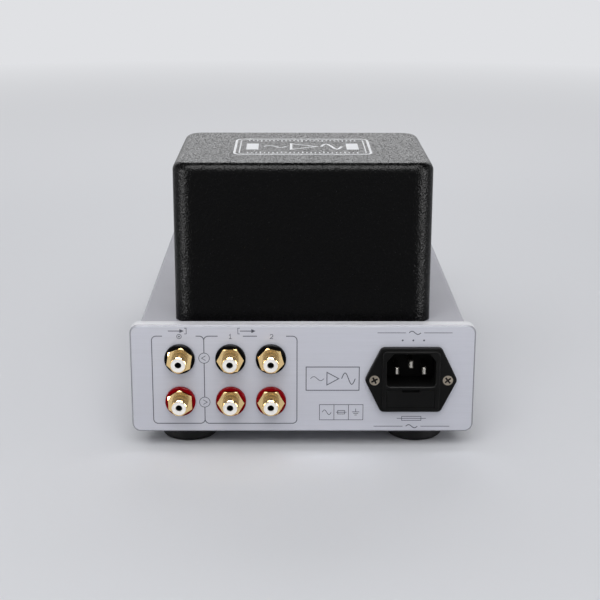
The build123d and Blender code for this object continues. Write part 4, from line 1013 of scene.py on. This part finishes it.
def crossed_screws(node, axis):
    shape = bmesh.new()
    for faces in loose_parts(nodes[node].data):
        points = [corner for face in faces for corner in face]
        spans = [max(p[k] for p in points) - min(p[k] for p in points) for k in range(3)]
        if spans[axis] < max(spans[k] for k in range(3) if k != axis):
            nut(shape, faces)
        else:
            screw(shape, points, axis)
    made = piece(f"{node}_crossed", shape, finish_for(node), "unit", 40)
    # Second material: painted shade in the cross recesses.
    made.data.materials.append(recess_painted_shade)
    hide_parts(node)


for node in ("base", "panel", "foot", "cover", "socket", "inlet"):
    crossed_screws(f"{node}_screws", 1 if node in ("panel", "inlet") else 2)

# -------------------- Valves
# Heights are above the table, and places across are from the valve's own axis.
STEM_FOOT, STEM_RADIUS = 69.3, 8.5
LOW_MICA, HIGH_MICA, MICA_RADIUS = 86.3, 112.3, 13.6
MICA_THICKNESS, MICA_TEETH, TOOTH_DEPTH = 0.6, 24, 1.1
ANODE_OFFSET, ANODE_WIDTH, ANODE_DEPTH = 6.3, 10.6, 8.0
ANODE_FOOT, ANODE_TOP, ANODE_RIBS = 88.1, 111.1, 5
FIN_HALF, FIN_ROOT, FIN_REACH = 0.35, 0.5, 2.6
GRID_ROD, SUPPORT_ROD = 2.2, (3.5, 7.0)
GETTER_LEVEL, GETTER_RADIUS = 117.3, 5.5
BULB_INSIDE, BULB_TOP = 14.0, 132.3
FILM_CLEARANCE, FILM_THICKNESS = 0.1, 0.1
FILM_EDGE, FILM_FULL = 124.5 * MM, 128.5 * MM


def getter_flash_metal():
    """A mirror film that thins out towards its lower edge."""
    material, tree, shader = finish_of("getter_flash", srgb(186, 186, 190), 0.08, 1.0)
    haze = grain_of(tree, 7.0, 3.0)
    rise = along(tree, own_place(tree), "Z")
    level = maths(tree, "ADD", rise, maths(tree, "MULTIPLY", haze, 3.0 * MM))
    tree.links.new(ranged(tree, level, 0, 1, FILM_EDGE, FILM_FULL), shader.inputs["Alpha"])
    tint(tree, shader, haze, srgb(150, 146, 144), srgb(200, 200, 204))
    roughen(tree, shader, haze, 0.05, 0.14)
    return material


def valve_stem(shape, place):
    """The pressed glass foot, flared below and flattened above."""
    rises = ((STEM_RADIUS, 0.0), (STEM_RADIUS, 1.2), (6.6, 2.2), (4.6, 4.2), (4.2, 6.4), (3.4, 7.0))
    lathe(shape, place, [(radius, STEM_FOOT + rise) for radius, rise in rises])


def valve_micas(shape, place):
    """Two sheets whose toothed rims touch the glass."""
    rim = circle(MICA_RADIUS, 4 * MICA_TEETH)
    root = circle(MICA_RADIUS - TOOTH_DEPTH, 4 * MICA_TEETH)
    outline = [rim[step] if step % 4 < 2 else root[step] for step in range(4 * MICA_TEETH)]
    for level in (LOW_MICA, HIGH_MICA):
        prism(shape, place, outline, level, level + MICA_THICKNESS)


def valve_anodes(shape, place):
    """Two ribbed boxes with a folded fin on each side."""
    marks = [(0.0, 0.0)]
    for rib in range(ANODE_RIBS):
        centre = (rib + 0.5) / ANODE_RIBS
        for offset, swell in ((-0.05, 0.0), (-0.025, 0.35), (0.025, 0.35), (0.05, 0.0)):
            marks.append((centre + offset, swell))
    marks.append((1.0, 0.0))
    for side in SIDES:
        stand = place @ Matrix.Translation((side * ANODE_OFFSET, 0, 0))

        def wall(share, inset, radius):
            """A ring of the wall at a share of the anode's height."""
            outline = rounded_box(ANODE_WIDTH - inset, ANODE_DEPTH - inset, radius, 4)
            return level_of(shape, stand, outline, ANODE_FOOT + (ANODE_TOP - ANODE_FOOT) * share)

        rings = [wall(share, 0.8 - 2 * swell, 2.4) for share, swell in marks]
        rings += [wall(share, 1.6, 2.0) for share in (1.0, 0.0)]
        skin(shape, rings, closed=True)
        for way in SIDES:
            root, edge = way * (ANODE_DEPTH / 2 - FIN_ROOT), way * (ANODE_DEPTH / 2 + FIN_REACH)
            fin = box(-FIN_HALF, FIN_HALF, root, edge)
            prism(shape, stand, fin, ANODE_FOOT + 1.0, ANODE_TOP - 1.0)


def valve_cathodes(shape, place):
    for side in SIDES:
        rod(shape, place, side * ANODE_OFFSET, 0, LOW_MICA - 1.6, HIGH_MICA + 2.2, 0.8)


def valve_rods(shape, place):
    """Grid rods, their winding's ends, the anodes' supports and the leads down to the stem."""
    near, far = SUPPORT_ROD
    for side in SIDES:
        centre = side * ANODE_OFFSET
        for v in (-GRID_ROD, GRID_ROD):
            rod(shape, place, centre, v, LOW_MICA - 2.2, HIGH_MICA + 2.8, 0.4)
            turns = []
            for step in range(9):
                u = centre + 1.2 * math.cos(step * math.pi / 4)
                turns.append((u, v + 0.15, HIGH_MICA + MICA_THICKNESS + 0.4 + 0.12 * step))
            wire(shape, place, turns, 0.12, sides=6)
        for v in (-far, far):
            rod(shape, place, side * near, v, LOW_MICA - 3.0, GETTER_LEVEL - 1.2, 0.55)
            lead = [
                (side * near, v, LOW_MICA - 2.9),
                (side * 3.3, v * 0.8, LOW_MICA - 5.4),
                (side * 2.2, v * 0.42, STEM_FOOT + 9.0),
                (side * 1.9, v * 0.3, STEM_FOOT + 6.6),
            ]
            wire(shape, place, lead, 0.45)
        lead = [
            (centre, 0, LOW_MICA - 1.5),
            (side * 5.0, 0, LOW_MICA - 4.0),
            (side * 3.2, 0, STEM_FOOT + 8.4),
            (side * 2.6, 0, STEM_FOOT + 6.4),
        ]
        wire(shape, place, lead, 0.4)


def valve_getter(shape, place):
    """The getter's channel ring on four posts from the supports."""
    points = [(u, v, GETTER_LEVEL) for u, v in circle(GETTER_RADIUS, 36)]
    wire(shape, place, points, 0.5, closed=True)
    reach = GETTER_RADIUS / math.hypot(*SUPPORT_ROD)
    for side in SIDES:
        for way in SIDES:
            u, v = side * SUPPORT_ROD[0], way * SUPPORT_ROD[1]
            post = [
                (u, v, GETTER_LEVEL - 1.4),
                (side * 3.4, v * 0.97, GETTER_LEVEL - 0.6),
                (u * reach, v * reach, GETTER_LEVEL),
            ]
            wire(shape, place, post, 0.4)


def valve_flash(shape, place):
    """The silvery film inside the top of the bulb."""
    outside = BULB_INSIDE - FILM_CLEARANCE
    centre = BULB_TOP - FILM_CLEARANCE - outside
    rims = []
    for reach in (outside, outside - FILM_THICKNESS):
        dome = arc((0, centre), reach, 0, 81, 9)
        rims.append(lathe(shape, place, [*dome, (0, centre + reach)], 40, closed=False)[0])
    bridge(shape, *rims)


mica = moulded("valve_mica", srgb(196, 186, 158), 0.3, 1.5, 0.004)
anode_metal = plated("anode_blackened_nickel", srgb(58, 58, 60), 0.5, 4.0)
cathode_white = moulded("cathode_oxide", srgb(226, 222, 212), 0.7, 0.4, 0.01)
stem_glass = clear_glass("valve_stem_glass", (0.9, 0.95, 0.93, 1.0))
VALVE_PARTS = (
    ("stem", valve_stem, stem_glass, 40),
    ("micas", valve_micas, mica, None),
    ("anodes", valve_anodes, anode_metal, 50),
    ("rods", valve_rods, materials["electrode_metal"], 50),
    ("getter", valve_getter, materials["electrode_metal"], 50),
    ("flash", valve_flash, getter_flash_metal(), 60),
    ("cathodes", valve_cathodes, cathode_white, 50),
)
for side in ("left", "right"):
    electrodes = f"valve_{side}_electrodes"
    low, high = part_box(electrodes)
    axis = Matrix.Translation(((low.x + high.x) / 2, (low.y + high.y) / 2, 0)) @ Matrix.Scale(MM, 4)
    for part, build, finish, smooth_angle in VALVE_PARTS:
        shape = bmesh.new()
        build(shape, axis)
        name = f"valve_{side}_{part}"
        made = piece(name, shape, finish, f"{side}_valve", smooth_angle)
        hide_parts(electrodes)

# -------------------- Floor and light
FLOOR_PALE = srgb(224, 225, 228)
SKY_LIGHT = 0.56  # light on things, where 1 is as bright as the floor's paper
SKY_SEEN = 1.0  # to the camera, through glass, and in reflections at the horizon
SKY_ABOVE = 0.04  # in reflections from overhead
SKY_DARKENS = (0.25, 0.7)  # sines of the heights between which reflections darken
FLOOR_REACH = 40.0
LIT_FLOOR = 0.5  # radius round the unit where the lamps alone show the floor
EVEN_FLOOR = 1.8  # radius from which the floor has one even tone
MIDDLE = (0.0, 0.0, 0.07)
COVER_EDGE = (0.0, 0.137, 0.147)


def seen_mask(tree):
    """1 for rays that show things: the camera's, reflections' and glass's; 0 for light."""
    path = add_node(tree, "LightPath")
    seen = maths(tree, "MAXIMUM", path.outputs["Is Camera Ray"], path.outputs["Is Glossy Ray"])
    return maths(tree, "MAXIMUM", seen, path.outputs["Is Transmission Ray"])


def add_floor():
    """Pale paper that keeps the shadow near the unit and has an even tone further away."""
    shape = bmesh.new()
    bmesh.ops.create_grid(shape, x_segments=1, y_segments=1, size=FLOOR_REACH)
    floor = bpy.data.objects.new("floor", mesh_from("floor", shape))
    material, tree, shader = finish_of("floor_paper", FLOOR_PALE, 0.6, specular=0.0)
    far = ranged(tree, vector_length(tree, own_place(tree)), 0, 1, LIT_FLOOR, EVEN_FLOOR)
    even = add_node(tree, "Emission", {"Color": FLOOR_PALE, "Strength": 1.0})
    paper = mixed_shaders(tree, maths(tree, "MULTIPLY", far, seen_mask(tree)), shader, even)
    back = add_node(tree, "NewGeometry").outputs["Backfacing"]
    clear = add_node(tree, "BsdfTransparent")
    show(tree, mixed_shaders(tree, back, paper, clear))
    floor.data.materials.append(material)
    bpy.context.scene.collection.objects.link(floor)
    floor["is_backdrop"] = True


def add_sky():
    """An even pale sky, darker overhead in reflections and dimmer as a light."""
    world = bpy.data.worlds.new("studio")
    bpy.context.scene.world = world
    world.use_nodes = True
    tree = world.node_tree
    sky = tree.nodes["Background"]
    sky.inputs["Color"].default_value = FLOOR_PALE
    direction = add_node(tree, "TexCoord").outputs["Generated"]
    overhead = ranged(tree, along(tree, direction, "Z"), SKY_SEEN, SKY_ABOVE, *SKY_DARKENS)
    gloss = add_node(tree, "LightPath").outputs["Is Glossy Ray"]
    seen = blended(tree, gloss, SKY_SEEN, overhead)
    strength = blended(tree, seen_mask(tree), SKY_LIGHT, seen)
    tree.links.new(strength, sky.inputs["Strength"])


def add_lamp(name, place, aim, size, watts, lights=True, mirrored=True, spread=180.0):
    """A panel lamp that lights things, shows as a highlight on them, or does both."""
    data = bpy.data.lights.new(name, "AREA")
    data.shape = "RECTANGLE"
    data.size, data.size_y = size
    data.energy = watts
    data.spread = math.radians(spread)
    lamp = bpy.data.objects.new(name, data)
    lamp.location = place
    lamp.rotation_euler = (Vector(aim) - Vector(place)).to_track_quat("-Z", "Y").to_euler()
    lamp.visible_camera = False
    lamp.visible_diffuse = lights
    lamp.visible_glossy = mirrored
    bpy.context.scene.collection.objects.link(lamp)


add_floor()
add_sky()
add_lamp("socket_side_softbox", (0.1, 1.2, 1.15), MIDDLE, (1.6, 0.8), 12.6)
add_lamp("front_side_softbox", (0.0, -0.9, 0.95), MIDDLE, (1.0, 0.5), 4.0, mirrored=False)
for side in SIDES:
    place, corner = (side * 0.332, 0.284, 0.13), (side * 0.066, 0.124, 0.1)
    add_lamp(f"side_strip_{side}", place, corner, (0.1, 0.25), 0.3, lights=False, spread=60.0)
add_lamp("high_card", (0.0, 0.36, 0.73), COVER_EDGE, (0.7, 0.32), 14.6, lights=False)
add_lamp("low_back_card", (0.0, -1.3, 0.55), COVER_EDGE, (1.5, 0.35), 3.4, lights=False)
bpy.context.scene.view_settings.view_transform = "Standard"

low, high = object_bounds()
